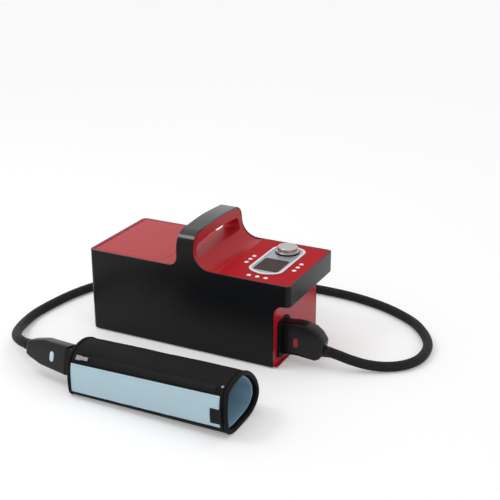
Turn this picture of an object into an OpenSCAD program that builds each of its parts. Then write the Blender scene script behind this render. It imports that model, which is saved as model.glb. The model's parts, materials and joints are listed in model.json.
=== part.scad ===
// Hot and cold therapy unit: an ice reservoir, pump and air compressor in a
// carrying case, with a braided hose to a padded limb wrap.
// +X points to the control head, -Y is the front and +Z is up. The origin is
// the centre of the unit's footprint on the floor. All sizes are millimetres.

/* [Case] */
// Length of the case
case_l = 412; // [396:2:430]
// Width of the case
case_w = 197; // [190:1:210]
// Height of the case from its underside to the deck
case_h = 160; // [156:1:172]
// Wall of the side shells
shell_t = 3; // [2.5:0.5:4]
// Radius of the case's upright corners
corner_r = 10; // [8:1:14]
// Radius of the side shells' lower corner at the lid end
heel_r = 9; // [5:1:12]
// Wall of the red mouldings
core_t = 3; // [2.5:0.5:4]
// Thickness of the base tray
tray_t = 3; // [2.5:0.5:4]
// Gap between mouldings that meet
seam = 0.2; // [0.1:0.05:0.3]

/* [Foot] */
// Height of the rubber foot ring
foot_h = 3; // [2.5:0.5:5]
// Width of the ring's rubber
foot_w = 12; // [8:1:16]
// Distance of the ring from the case's sides
foot_inset = 22; // [18:1:30]

/* [Handle] */
// Width of the handle along the case
handle_w = 33; // [28:1:38]
// Height of the handle above the deck
handle_rise = 68; // [64:1:76]
// Radius of the handle's shoulders
handle_r = 30; // [26:1:34]
// How far the shoulders lie below the handle's middle
handle_crown = 6; // [4:1:8]
// Radius of the crown in the handle's middle
crown_r = 500; // [400:20:600]
// Thickness of the handle over the hand opening
grip_depth = 21; // [19:1:24]
// Thickness of the handle's columns
column_t = 14.5; // [12:0.5:16]
// Height of the red hump under the hand opening
hump_h = 17; // [12:1:18]
// Depth of the rubber grip's ends below the handle's top
grip_drop = 15; // [12:1:18]
// Thickness of the rubber grip
grip_t = 3; // [2.5:0.5:5]
// Radius of the fillet between the deck and the handle, lid side
fillet_lid = 18; // [14:1:20]
// Radius of the fillet between the deck and the handle, panel side
fillet_deck = 35; // [30:1:36]
// How far the red scoop dips below the deck
scoop_dip = 1.6; // [1:0.1:2.5]

/* [Head] */
// Overhang of the control head past the recess wall
head_over = 31; // [28:1:34]
// Height of the control head
head_h = 39; // [36:1:42]
// Radius of the fillet under the head
recess_r = 20; // [16:1:22]
// Reach of the lip at the foot of the recess wall
lip = 8; // [6:1:10]

/* [Lid] */
// Distance of the lid's sides from the case's sides
lid_margin = 8.5; // [8:0.5:10]
// Distance from the handle's middle to the lid's free edge
lid_reach = 53; // [52:0.5:56]
// Distance from the case's end to the hinge axis
hinge_in = 9.5; // [9:0.5:12]
// Thickness of the lid
lid_t = 4; // [3.5:0.5:5]
// Radius of the lid's free corners
lid_r = 28; // [20:1:32]
// Gap round the lid
lid_gap = 0.6; // [0.5:0.1:0.9]
// Diameter of the hinge pins
pin_d = 2.4; // [2:0.2:2.8]
// Radial running gap of pins and shafts
run_gap = 0.05; // [0.03:0.01:0.08]
// Depth of the foam plug under the lid
plug_h = 9; // [6:1:12]
// Height of the lid's seal
seal_h = 1.7; // [1.5:0.1:2]

/* [Reservoir] */
// Distance from the lid's edge to the tub's mouth
tub_in = 12; // [11:0.5:14]
// Wall of the tub
tub_t = 2.5; // [2:0.25:3]
// Depth of the tub
tub_h = 132; // [120:1:134]
// Radius of the tub's corners
tub_r = 16; // [12:1:18]
// Thickness of the tub's flange
flange_t = 2; // [1.5:0.25:2.5]
// Wall of the foam jacket
jacket_t = 7; // [5:0.5:8]

/* [Controls] */
// Distance from the head's end to the middle of the display
panel_in = 71.5; // [68:0.5:73]
// Width of the display bezel
bezel_w = 66; // [62:1:70]
// Front end of the display bezel, from the unit's centre line
bezel_front = 66; // [62:1:68]
// Rear end of the display bezel, from the unit's centre line
bezel_rear = 82; // [81:1:83]
// Width of the display window
window_w = 48; // [44:1:50]
// Front edge of the display window, from the unit's centre line
window_front = 48; // [44:1:50]
// Rear edge of the display window, from the unit's centre line
window_rear = 10; // [8:1:14]
// Height of the bezel's rim above the deck
rim_h = 1.6; // [1.2:0.2:2]
// Width of the bezel's rim
rim_w = 5; // [4:0.5:6]
// Distance of the knob's axis behind the unit's centre line
knob_y = 51; // [49:1:52]
// Diameter of the knob's grip
knob_d = 38; // [34:1:40]
// Diameter of the knob's skirt
skirt_d = 43; // [42:0.2:45]
// Height of the knob
knob_h = 10.6; // [8:0.2:12]
// Diameter of the knob's plunger
plunger_d = 6; // [5:0.5:7]
// Travel of the knob when pushed
knob_travel = 0.8; // [0.5:0.1:1]
// Diameter of a key
key_d = 8; // [7:0.25:9]
// Distance between the keys of a row
key_pitch = 16.3; // [14:0.1:18]
// Distance from the display's middle to the side rows
key_side = 47.2; // [45:0.2:49]
// Distance of the front row from the unit's centre line
key_front = 77.6; // [77:0.2:80]
// Distance of the side rows' middle from the unit's centre line
key_mid = 8.5; // [0:0.5:12]
// Radial gap round a key
key_gap = 0.2; // [0.15:0.05:0.3]
// Travel of a key
key_travel = 1; // [0.6:0.1:1.1]

/* [Pump and compressor] */
// Diameter of the pump housing
pump_d = 56; // [50:1:60]
// Length of the pump housing
pump_l = 20; // [18:1:24]
// Diameter of the pump motor
motor_d = 42; // [36:1:46]
// Length of the pump motor
motor_l = 52; // [44:1:56]
// Height of the pump's axis above the tray
pump_z = 34; // [32:1:40]
// Diameter of the rotor's shaft
shaft_d = 5; // [4:0.5:6]
// Outer diameter of the water tubes
tube_d = 12; // [10:0.5:13]
// Size of the compressor housing across
comp_w = 44; // [42:1:50]
// Throw of the compressor's crank
crank_throw = 3; // [2:0.5:4]

/* [Connectors] */
// Thickness of a connector's grip
grip_w = 30; // [28:0.2:34]
// Height of the unit-end connector's middle above the floor
port_z = 47; // [46:1:50]
// Distance of the hose port in front of the unit's centre line
port_y = 51.2; // [48:0.2:54]
// Height of the unit-end connector at its plug face
unit_plug_h = 64; // [60:1:66]
// Height of the wrap-end connector at its plug face
wrap_plug_h = 52; // [48:1:54]
// Height of the connector's nose
nose_h = 40; // [38:1:44]
// Thickness of the connector's nose
nose_w = 24; // [22:1:26]
// Distance between the nipples
nipple_pitch = 12; // [11:0.5:13]
// Diameter of a nipple
nipple_d = 7; // [6:0.5:8]
// Radial gap of a nipple in its bore
nipple_gap = 0.15; // [0.1:0.05:0.25]
// Travel of a release button
release_travel = 1.5; // [1:0.1:2]
// Diameter of the braided hose
hose_d = 18; // [16:1:20]

/* [Wrap] */
// Thickness of the sleeve's padding
wrap_t = 6; // [5:0.5:8]
// Thickness of the lining
lining_t = 2.5; // [2:0.25:3]
// Thickness of the light front panel
panel_t = 1.4; // [1:0.1:2]
// Diameter of the piping round the mouths
piping_d = 8; // [7:0.5:9]
// Gap between the wrap's layers
layer_gap = 0.25; // [0.2:0.05:0.3]

/* [Hidden] */
$fn = 64;
over = 1;                                   // how far a cut runs past a face
arc_steps = 8;                              // straight steps in a rounded corner

x_end = case_l / 2;
y_side = case_w / 2;
y_in = y_side - shell_t;
y_core = y_in - seam;                       // side faces of what stands between the shells
x_core = x_end - shell_t - seam;            // end faces of what stands between the shells
deck_z = foot_h + case_h;
tray_z = foot_h + tray_t;
core_z = deck_z - core_t - scoop_dip;       // underside of the handle core's flanges
col = handle_w / 2;
top_z = deck_z + handle_rise;
hump_z = deck_z + hump_h;
hand_low_r = 8;                             // corner radii of the hand opening
hand_top_r = 14;
hand_y = y_side - column_t;
recess_x = x_end - head_over;
head_z = deck_z - head_h;
scoop_r = fillet_deck + scoop_dip;
scoop_x = col + scoop_r;                    // middle of the scoop's round
scoop_end = scoop_x + sqrt(scoop_r * scoop_r - fillet_deck * fillet_deck);

hinge_x = hinge_in - x_end;
barrel_r = 2.8;                             // radius of the lid's hinge barrel
hinge_z = deck_z - barrel_r - 0.1;
pin_l = 9;                                  // reach of a hinge pin into the lid
lid_x = -lid_reach;
lid_y = y_side - lid_margin;
lid_under = deck_z - lid_t;
frame_x = lid_x + 17;                       // where the reservoir frame meets the handle core
seal_gap = 0.3;                             // between the lid's seal and the tub's flange
flange_z = lid_under - seal_h - seal_gap;   // top of the tub's flange
ledge_z = flange_z - flange_t;
ledge_t = 4;                                // thickness of the ledge under the flange
mouth_x0 = hinge_x + tub_in;
mouth_x1 = lid_x - tub_in;
mouth_y = lid_y - tub_in;
tub_z = ledge_z - tub_h;
seal_in = 3;                                // the seal's edges outside the tub's mouth
seal_out = 6;

panel_x = x_end - panel_in;
under_z = deck_z - core_t;                  // underside of the control deck
pocket_z = deck_z - 1;                      // floor of the bezel's pocket
field_z = deck_z + 0.6;                     // face of the bezel inside its rim
bezel_bulge = 12;                           // how far the bezel's ends bulge
bezel_r = 22;                               // radius of the bezel's corners
bezel_crown_r = 34;                         // radius in the middle of its ends
window_r = 5;
board_t = 1.6;                              // thickness of the circuit boards
board_z = under_z - 5.4;                    // top of the display board
board_left = panel_x - key_side - 9;        // edges of the display board
board_right = panel_x + key_side + 8;
board_front = -key_front - 13;
board_rear = knob_y + 21;
post_d = 6;                                 // posts that carry the display board
post_in = 5;                                // from the board's edges to a post's middle
bushing_d = plunger_d + 4;                  // the encoder's bushing round the plunger
encoder_w = 16;
encoder_h = 4;
plunger_z = board_z + 2 + knob_travel + 0.4;
collar_h = 0.8;
collar_reach = 1.8;                         // of the collar past the knob's skirt
knob_z = field_z + collar_h + knob_travel + 0.2;
knob_roof = 2.5;                            // what is left of the knob above its bore
switch_h = 0.8;                             // height of a key's switch
key_cap = 0.8;                              // height of a key's cap above the deck
key_foot = key_travel + 0.2;                // gap between a key's stem and its switch
key_places = [
    for (side = [-1, 1], i = [-1:1]) [panel_x + side * key_side, i * key_pitch - key_mid],
    for (i = [-1:1]) [panel_x + i * key_pitch, -key_front]
];

main_x = recess_x - 155;                    // main board, upright in front of the rear shell
main_z = 40;
main_l = 110;
main_h = 84;
main_y = y_in - 10;                         // rear face of the main board
main_boss_d = 7;
chips = [                                   // parts on the main board: [x, z, length, height]
    [18, 50, 26, 20], [60, 46, 18, 18], [86, 20, 14, 40], [20, 14, 40, 16]
];
chip_t = 5;

boss_w = 7.5;                               // screw bosses in the side shells
boss_h = 12;
screw_d = 3;
screw_head_d = 5.6;
screw_head_h = 1.5;
screw_gap = 0.2;                            // radial, in the tray
screw_in = 56;                              // from the lid end and the recess wall to a screw
screw_places = [
    for (x = [-x_end + screw_in, -x_end / 3, x_end / 4, recess_x - screw_in / 2], s = [-1, 1])
        [x, s * (y_in - boss_w / 2)]
];

port_l = 40;                                // depth of the hose port behind the wall
port_wall = 4;
nose_l = 16;                                // reach of the connector's nose into the port
port_back = recess_x - core_t - port_l;
nipple_l = 14;
socket_t = 4;                               // thickness of the port's bezel
socket_side = 13.5;                         // its width in front of the connector
socket_rear = 4;                            // behind the connector
socket_rim = 3;                             // and above and below it
valve_l = 38;
valve_w = 30;
valve_top = tray_z + 72;
valve_x1 = port_back - 10;
valve_x0 = valve_x1 - valve_l;
coil_d = 14;                                // coils on the valve block
coil_h = 16;
bore_d = tube_d - 4;                        // bore of the water tubes
spigot_d = tube_d + 3;
return_y = 30;
return_z = deck_z - 45;
tube_bend = 9;                              // reach of the water tubes' bends
strainer_d = 20;
strainer_l = 26;
strainer_flange_d = 26;
strainer_t = 2.5;                           // walls of the strainer
strainer_slots = 8;
slot_w = 2;
slot_l = 16;

outlet_z = tub_z + tub_t + strainer_flange_d / 2 + 1.5;     // of the tub
pump_y = -port_y + 11.2;
axle_z = tray_z + pump_z;
pump_wall = 4;
inlet_l = 10;                               // spigot towards the reservoir
outlet_l = 6;                               // spigot on top of the pump
motor_x = valve_x0 - motor_l - 17.8;
pump_x = motor_x - seam - pump_l;           // left face of the pump housing
motor_end = 4;                              // wall at the far end of a motor
cradle_in = 12;                             // from the motor's ends to its cradle
cradle_w = 28;
cradle_h = pump_z - 9;
rotor_x = pump_x + pump_wall + 2;
rotor_r = pump_d / 2 - pump_wall - 4;
rotor_t = 2;
blades = 6;

comp_x = valve_x0 + 8;                      // left face of the compressor housing
comp_y = 42;                                // middle of the compressor
comp_l = 34;
comp_z = tray_z + comp_w / 2;
comp_wall = 4;
comp_head_d = 30;
comp_top = tray_z + comp_w + 9;             // top of the compressor's head
comp_motor_l = 36;
shaft_reach = 18;                           // of the crank's shaft into its motor
crank_r = 10;
crank_t = 10;
air_d = 8;                                  // outer diameter of the air tube

inlet_y = 6;                                // power inlet on the recess wall
inlet_z = 26;
inlet_d = 12;
inlet_bore = 6.4;
inlet_flange = 2;                           // reach and thickness of its flange
inlet_flange_t = 1.5;
inlet_depth = 16;

// Side views of the connectors' grips, from the plug face along the hose, [x, z, radius]
grip_unit = [
    [1, -unit_plug_h / 2, 2], [1, unit_plug_h / 2, 2], [14, unit_plug_h / 2, 20], [30, 34.5, 40],
    [50, 33.5, 20], [63, 28.5, 20], [74, 21, 16], [84, 6, 9], [82.6, -4, 12], [76, -27, 12],
    [66, -32.5, 9], [30, -29.5, 60]
];
grip_wrap = [
    [1, -wrap_plug_h / 2, 2], [1, wrap_plug_h / 2, 2], [62, 23, 20],
    [86, 16.5, 8], [98, 12, 4], [98, -12, 4], [88, -16.5, 8], [62, -23, 20]
];
grip_edge_r = 5;                            // rounding of the grips' edges in front
grip_back_r = 9;                            // and at the back
unit_tail_at = [83, -15];                   // where the hose leaves, from the plug face, [x, z]
tail_l = 14;
tail_d = hose_d + 3;
release_at = [30, -3];                      // middle of a release button, from the plug face
wrap_release_at = [34, 0];
release_w = 9;
release_h = 18;
release_deep = 4;                           // depth of the button's pocket
release_gap = 0.3;                          // left under the button when it is pressed

wrap_plug_at = [-110, -299, 46];            // plug face of the wrap-end connector
wrap_tail_at = [-210, -284, 46];            // where the hose leaves that connector
wrap_plug_roll = 12;                        // how far its broad face leans back

// Route of the hose's centre line, from the unit-end connector to the wrap's
hose_route = [
    [258, -51.2, 32], [266, -51.2, 32], [280, -50.3, 29.5], [302, -45, 22.5], [330, -33.5, 14],
    [361, -17, 9.5], [388, 6, 9.2], [403, 41, 9.2], [402, 88, 9.2], [385, 130, 9.2],
    [352, 173, 9.2], [314, 201, 9.2], [272, 222, 9.2], [231, 235, 9.2], [190, 243, 9.2],
    [145, 246, 9.2], [90, 246, 9.2], [30, 244, 9.2], [-35, 240, 9.2], [-100, 230, 9.2],
    [-160, 209, 9.2], [-212, 178, 9.2], [-255, 138, 9.2], [-288, 92, 9.2], [-311, 42, 9.2],
    [-325, -8, 9.2], [-332, -60, 9.2], [-334, -108, 9.2], [-327, -146, 11], [-313, -182, 16.5],
    [-293, -217, 25.5], [-272, -245, 34], [-251, -265, 40.5], [-233, -277, 44.5],
    [-218, -282.8, 46], [-210, -284, 46]
];

// Cross-sections of the sleeve, looking along -X: [y, z] from the floor contact
// up the front face, over the crown and down the back
wrap_x0 = -86;
wrap_x1 = 205;
section_left = [
    [-322, 0.3], [-333, 3], [-338, 12], [-339, 35], [-337, 58], [-331, 73], [-314, 83],
    [-287, 86], [-262, 77], [-244, 61], [-234, 43], [-233, 27], [-242, 12], [-262, 3], [-292, 0.3]
];
section_right = [
    [-318, 0.52], [-335, 6], [-344, 20], [-347, 45], [-345, 70], [-339, 83], [-318, 91],
    [-290, 93.5], [-266, 84], [-246, 67], [-233, 47], [-230, 28], [-240, 12], [-262, 3], [-292, 0.52]
];
section_fine = 3;                           // points of the smoothed section per given point
stations = 10;                              // steps along the sleeve
panel_from = 6;                             // first and last section point of the front panel
panel_to = 13;
zip_from = 14;                              // first and last section point of the zip tape
zip_to = 16;
zip_k = 15;                                 // section point in the middle of the tape
zip_t = 0.9;
zip_end = 3.5;                              // from the left mouth to the tape's end
zip_stop = 14;                              // from the right mouth to the tape's end
zip_in = 16;                                // from the mouths to the slider's ends of travel
slider_gap = 0.4;
tab_w = 20;                                 // black tab at the right end of the front panel
tab_from = 7;                               // and its first and last section point
tab_to = 10;
rivet_d = 5;
rivet_k = 16;                               // section point of the rivet by the right mouth
tongue_l = 52;                              // tongue that holds the port to the lining
tongue_t = 4;
tongue_w = 22;
tongue_h = 28;

// ---------------------------------------------------------------- outlines

function unit(v) = v / norm(v);

// The rounded corner at p between the edges to a and b, as points on an arc of radius r
function corner_arc(a, p, b, r) = r <= 0 ? [p] :
    let (
        u = unit(a - p),
        w = unit(b - p),
        turn = acos(u * w),
        middle = p + unit(u + w) * r / sin(turn / 2),
        from = p + u * r / tan(turn / 2) - middle,
        to = p + w * r / tan(turn / 2) - middle,
        sweep = 180 - turn
    )
    [for (i = [0:arc_steps])
        middle + (from * sin((1 - i / arc_steps) * sweep) + to * sin(i / arc_steps * sweep))
            / sin(sweep)];

// An outline from corners given as [x, y, radius]
function outline(v) = [
    for (i = [0:len(v) - 1])
        let (a = v[(i + len(v) - 1) % len(v)], p = v[i], b = v[(i + 1) % len(v)])
        each corner_arc([a.x, a.y], [p.x, p.y], [b.x, b.y], p.z)
];

function box_outline(x0, x1, y0, y1, r) =
    outline([[x0, y0, r], [x1, y0, r], [x1, y1, r], [x0, y1, r]]);

// Points on an arc from angle a0 to a1
function arc(c, r, a0, a1) =
    [for (i = [0:arc_steps]) c + r * [cos(a0 + (a1 - a0) * i / arc_steps),
                                      sin(a0 + (a1 - a0) * i / arc_steps)]];

// Extrudes an outline drawn in X and Z across the unit, from y0 to y1
module across(y0, y1) {
    translate([0, y1, 0]) rotate([90, 0, 0]) linear_extrude(y1 - y0) children();
}

// Extrudes an outline drawn in Y and Z along the unit, from x0 to x1
module along(x0, x1) {
    translate([x0, 0, 0]) rotate([90, 0, 90]) linear_extrude(x1 - x0) children();
}

// Extrudes an outline drawn in X and Y upwards, from z0 to z1
module upright(z0, z1) {
    translate([0, 0, z0]) linear_extrude(z1 - z0) children();
}

// Sum of a list's members
function total(v) = [for (i = v) 1] * v;

// Whether a ring runs clockwise as seen from the next one
function backwards(ring, next) =
    total([for (i = [0:len(ring) - 1]) cross(ring[i] - ring[0], ring[(i + 1) % len(ring)] - ring[0])])
    * (total(next) - total(ring)) < 0;

// A solid skinned over rings of equally many points, closed at both ends
module loft(rings) {
    n = len(rings[0]);
    m = len(rings);
    turn = backwards(rings[0], rings[1]);
    polyhedron(
        points = [for (ring = rings, i = [0:n - 1]) ring[turn ? n - 1 - i : i]],
        faces = concat(
            [[for (i = [0:n - 1]) i]],
            [for (k = [0:m - 2], i = [0:n - 1])
                let (a = k * n + i, b = k * n + (i + 1) % n) each [[a, a + n, b + n], [a, b + n, b]]],
            [[for (i = [n - 1:-1:0]) (m - 1) * n + i]]
        )
    );
}

// Direction of an open path at point i
function heading(path, i) =
    unit(path[min(i + 1, len(path) - 1)] - path[max(i - 1, 0)]);

// Rings of a round tube along a route smoothed in n steps a leg, square to its end legs.
// The direction across may not point along the route.
function tube_rings(route, n, r, sides, across) =
    let (path = smooth_path(route, n), last = len(path) - 1, e = len(route) - 1)
    [for (i = [0:last])
        let (
            d = i == 0 ? unit(route[1] - route[0])
                : i == last ? unit(route[e] - route[e - 1]) : heading(path, i),
            side = unit(cross(across, d)),
            up = cross(d, side)
        )
        [for (k = [0:sides - 1])
            path[i] + r * (cos(360 * (k + 0.5) / sides) * side + sin(360 * (k + 0.5) / sides) * up)]
    ];

// One point of a smooth curve through b and c
function through(a, b, c, d, t) =
    b + t * (c - a) / 2 + t * t * (a - 2.5 * b + 2 * c - d / 2)
    + t * t * t * (1.5 * (b - c) + (d - a) / 2);

// An open path with every leg divided into n, on a smooth curve
function smooth_path(p, n) = [
    for (i = [0:len(p) - 2], k = [0:n - 1])
        through(p[max(i - 1, 0)], p[i], p[i + 1], p[min(i + 2, len(p) - 1)], k / n),
    p[len(p) - 1]
];

// A closed outline with every leg divided into n, on a smooth curve
function smooth_loop(p, n) = [
    for (i = [0:len(p) - 1], k = [0:n - 1])
        through(p[(i + len(p) - 1) % len(p)], p[i], p[(i + 1) % len(p)], p[(i + 2) % len(p)], k / n)
];

// ---------------------------------------------------------------- case shapes

// Side view of the case and the handle, [x, z]
function case_side() = outline([
    [-x_end, foot_h, heel_r], [-x_end, deck_z, 0], [-col, deck_z, fillet_lid],
    [-col, top_z + over, 0], [col, top_z + over, 0], [col, deck_z, fillet_deck],
    [x_end, deck_z, 0], [x_end, head_z, 0], [recess_x, head_z, recess_r], [recess_x, foot_h, 0]
]);

function case_plan(inset) = box_outline(
    -x_end + inset, x_end - inset, -y_side + inset, y_side - inset, corner_r - inset);

// Front view of the handle arch, [y, z], with its faces moved inwards by inset
function arch(inset) =
    let (
        slope = atan(handle_crown / y_side),
        drop = inset / cos(slope),
        apex = top_z + crown_r * (1 / cos(slope) - 1)
    )
    outline([
        [-y_side + inset, core_z, 0],
        [-y_side + inset, apex - handle_crown + inset * tan(slope) - drop, handle_r - inset],
        [0, apex - drop, crown_r - inset],
        [y_side - inset, apex - handle_crown + inset * tan(slope) - drop, handle_r - inset],
        [y_side - inset, core_z, 0]
    ]);

// The hand opening under the handle, [y, z]
function hand_opening() = outline([
    [-hand_y, hump_z, hand_low_r], [-hand_y, top_z - grip_depth - handle_crown, hand_top_r],
    [0, top_z - grip_depth, crown_r], [hand_y, top_z - grip_depth - handle_crown, hand_top_r],
    [hand_y, hump_z, hand_low_r]
]);

// ---------------------------------------------------------------- case

// Front half of the black case: side wall, half end walls and a handle column
module half_shell() {
    intersection() {
        across(-y_side, -seam / 2) polygon(case_side());
        union() {
            difference() {
                upright(foot_h, deck_z) polygon(case_plan(0));
                upright(foot_h - over, deck_z + over) polygon(case_plan(shell_t));
            }
            difference() {
                along(-col - fillet_lid, col + fillet_deck) polygon(arch(0));
                along(-x_end, x_end) polygon(arch(shell_t));
                translate([-x_end, -y_side - over, top_z - grip_drop])
                    cube([case_l, case_w, handle_rise]);
            }
        }
    }
    for (p = screw_places) if (p.y < 0) difference() {
        translate([p.x - boss_w / 2, -y_in - seam, tray_z]) cube([boss_w, boss_w, boss_h]);
        translate([p.x, p.y, tray_z - over]) cylinder(d = screw_d, h = boss_h - 2);
    }
}

module front_shell() {
    color("#1d2022") half_shell();
}

module rear_shell() {
    color("#1d2022") {
        mirror([0, 1, 0]) half_shell();
        // bosses for the main board
        for (x = [main_x + main_boss_d, main_x + main_l - main_boss_d],
             z = [main_z + main_boss_d, main_z + main_h - main_boss_d])
            translate([x, y_in + seam, z]) rotate([90, 0, 0])
                cylinder(d = main_boss_d, h = y_in + seam - main_y);
    }
}

module base_tray() {
    color("#26292b") {
        difference() {
            intersection() {
                across(-y_core, y_core) polygon(case_side());
                upright(foot_h, tray_z) polygon(box_outline(
                    -x_core, recess_x - core_t - seam, -y_core, y_core, corner_r - shell_t));
            }
            for (p = screw_places) translate([p.x, p.y, 0]) {
                cylinder(d = screw_d + 2 * screw_gap, h = tray_z + over);
                translate([0, 0, foot_h - over])
                    cylinder(d = screw_head_d + 2 * screw_gap, h = over + screw_head_h);
            }
        }
        // cradle under the pump's motor
        difference() {
            translate([motor_x + cradle_in, pump_y - cradle_w / 2, tray_z - over])
                cube([motor_l - 2 * cradle_in, cradle_w, cradle_h]);
            translate([motor_x, pump_y, axle_z]) rotate([0, 90, 0])
                cylinder(d = motor_d + 2 * seam, h = motor_l);
        }
    }
}

module foot_ring() {
    color("#141516") difference() {
        upright(0, foot_h) polygon(box_outline(-x_end + foot_inset, recess_x - foot_inset + 14,
            -y_side + foot_inset, y_side - foot_inset, 16));
        upright(-over, foot_h + over) polygon(box_outline(-x_end + foot_inset + foot_w,
            recess_x - foot_inset + 14 - foot_w, -y_side + foot_inset + foot_w,
            y_side - foot_inset - foot_w, 16 - foot_w / 2));
    }
}

module base_screws() {
    color("silver") for (p = screw_places) translate([p.x, p.y, foot_h]) {
        cylinder(d = screw_head_d, h = screw_head_h);
        cylinder(d = screw_d, h = tray_t + boss_h - 4);
    }
}

module lid_frame() {
    color("#b81f2b") difference() {
        upright(ledge_z - ledge_t, deck_z)
            polygon(outline([[-x_core, -y_core, corner_r - shell_t], [frame_x, -y_core, 0],
                             [frame_x, y_core, 0], [-x_core, y_core, corner_r - shell_t]]));
        upright(ledge_z, deck_z + over) polygon(lid_plan(-lid_gap));
        upright(0, deck_z) polygon(mouth_plan(-tub_t - seam));
        for (s = [-1, 1]) translate([hinge_x, s * (lid_y - over), hinge_z])
            rotate([-90 * s, 0, 0]) cylinder(d = pin_d, h = lid_margin - shell_t + 2 * over);
    }
}

// Side view of the handle core, [x, z]
function core_side() = concat(
    outline([[frame_x, core_z, 0], [frame_x, deck_z, 0], [-col, deck_z, fillet_lid],
             [-col, top_z + over, 0]]),
    [[col, top_z + over]],
    arc([scoop_x, deck_z + fillet_deck], scoop_r, 180, 360 - acos((scoop_end - scoop_x) / scoop_r)),
    [[scoop_end, core_z]]
);

module handle_core() {
    color("#b81f2b") difference() {
        intersection() {
            across(-y_core, y_core) polygon(core_side());
            along(frame_x - over, scoop_end + over) polygon(arch(max(shell_t, grip_t) + seam));
        }
        along(frame_x - over, scoop_end + over) polygon(hand_opening());
        // hollow under the hump
        translate([-col + core_t, -hand_y, core_z - over])
            cube([handle_w - 2 * core_t, 2 * hand_y, hump_z - core_z - core_t + over]);
    }
}

module handle_grip() {
    color("#2a2d2f") difference() {
        along(-col, col) polygon(arch(0));
        along(-col - over, col + over) polygon(arch(grip_t));
        translate([-x_end, -y_side - over, 0])
            cube([case_l, case_w + 2 * over, top_z - grip_drop + seam]);
    }
}

// Side view of the control deck: panel, head end, head underside, wall and lip, [x, z]
function deck_side() = outline([
    [scoop_end, under_z, 0], [scoop_end, deck_z, 0], [x_core, deck_z, 0], [x_core, head_z, 0],
    [recess_x, head_z, recess_r], [recess_x, foot_h + 2, lip - 1], [recess_x + lip, foot_h + 2, 0],
    [recess_x + lip, foot_h, 0], [recess_x - core_t, foot_h, 0],
    [recess_x - core_t, head_z + core_t, recess_r + core_t], [x_core - core_t, head_z + core_t, 0],
    [x_core - core_t, under_z, 0]
]);

module control_deck() {
    color("#b81f2b") {
        difference() {
            intersection() {
                across(-y_core, y_core) polygon(deck_side());
                upright(0, deck_z + over) polygon(case_plan(shell_t + seam));
            }
            translate([0, 0, pocket_z]) linear_extrude(over + 1) bezel_shape(-seam);
            upright(under_z - over, deck_z) polygon(window_plan(-1));
            translate([panel_x, knob_y, under_z - over]) cylinder(d = bushing_d + 1, h = core_t + over);
            for (p = key_places) translate([p.x, p.y, under_z - over])
                cylinder(d = key_d + 2 * key_gap, h = core_t + 2 * over);
            // way in for the connector's nose
            translate([recess_x - core_t - over, -port_y - nose_w / 2 - seam, port_z - nose_h / 2 - seam])
                cube([core_t + 2 * over, nose_w + 2 * seam, nose_h + 2 * seam]);
            translate([recess_x - core_t - over, inlet_y, inlet_z]) rotate([0, 90, 0])
                cylinder(d = inlet_d + 2 * seam, h = core_t + 2 * over);
        }
        // posts for the display board
        for (x = [board_left + post_in, board_right - post_in],
             y = [board_front + post_in, board_rear - post_in])
            translate([x, y, board_z]) cylinder(d = post_d, h = under_z + core_t / 2 - board_z);
    }
}

// ---------------------------------------------------------------- lid and reservoir

function lid_plan(inset) = outline([
    [hinge_x - (inset < 0 ? barrel_r - inset : -inset), -lid_y + inset, 0],
    [lid_x - inset, -lid_y + inset, lid_r - inset],
    [lid_x - inset, lid_y - inset, lid_r - inset],
    [hinge_x - (inset < 0 ? barrel_r - inset : -inset), lid_y - inset, 0]
]);

function mouth_plan(inset) =
    box_outline(mouth_x0 + inset, mouth_x1 - inset, -mouth_y + inset, mouth_y - inset, tub_r - inset);

module lid() {
    color("#c02733") difference() {
        union() {
            upright(lid_under, deck_z) polygon(lid_plan(0));
            translate([hinge_x, lid_y, hinge_z]) rotate([90, 0, 0]) cylinder(r = barrel_r, h = 2 * lid_y);
        }
        for (s = [-1, 1]) translate([hinge_x, s * (lid_y + over), hinge_z])
            rotate([90 * s, 0, 0]) cylinder(d = pin_d + 2 * run_gap, h = pin_l + over);
    }
}

module hinge_pins() {
    color("silver") for (s = [-1, 1]) translate([hinge_x, s * y_core, hinge_z])
        rotate([90 * s, 0, 0]) cylinder(d = pin_d, h = pin_l - 0.5 + lid_margin - shell_t - seam);
}

module lid_plug() {
    color("whitesmoke") upright(lid_under - plug_h, lid_under) polygon(mouth_plan(tub_t));
}

module lid_seal() {
    color("#3a3a3a") difference() {
        upright(lid_under - seal_h, lid_under) polygon(mouth_plan(-seal_out));
        upright(0, deck_z) polygon(mouth_plan(-seal_in));
    }
}

module reservoir_tub() {
    color("#dfe3e6") difference() {
        union() {
            upright(tub_z, flange_z) polygon(mouth_plan(-tub_t));
            upright(ledge_z, flange_z) intersection() {
                polygon(mouth_plan(-tub_in + 1));
                polygon(lid_plan(-lid_gap + seam));
            }
        }
        upright(tub_z + tub_t, deck_z) polygon(mouth_plan(0));
        // outlet to the pump and inlet of the return
        for (p = [[pump_y, outlet_z], [return_y, return_z]])
            translate([mouth_x1 - over, p.x, p.y]) rotate([0, 90, 0])
                cylinder(d = bore_d, h = 2 * tub_t + over);
    }
}

module tub_jacket() {
    color("white") difference() {
        upright(tray_z, ledge_z - ledge_t - seam) polygon(mouth_plan(-tub_t - seam - jacket_t));
        upright(tub_z - seam, deck_z) polygon(mouth_plan(-tub_t - seam));
        for (p = [[pump_y, outlet_z], [return_y, return_z]])
            translate([mouth_x1, p.x, p.y]) rotate([0, 90, 0])
                cylinder(d = tube_d + 1, h = tub_t + jacket_t + 2 * over);
    }
}

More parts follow.
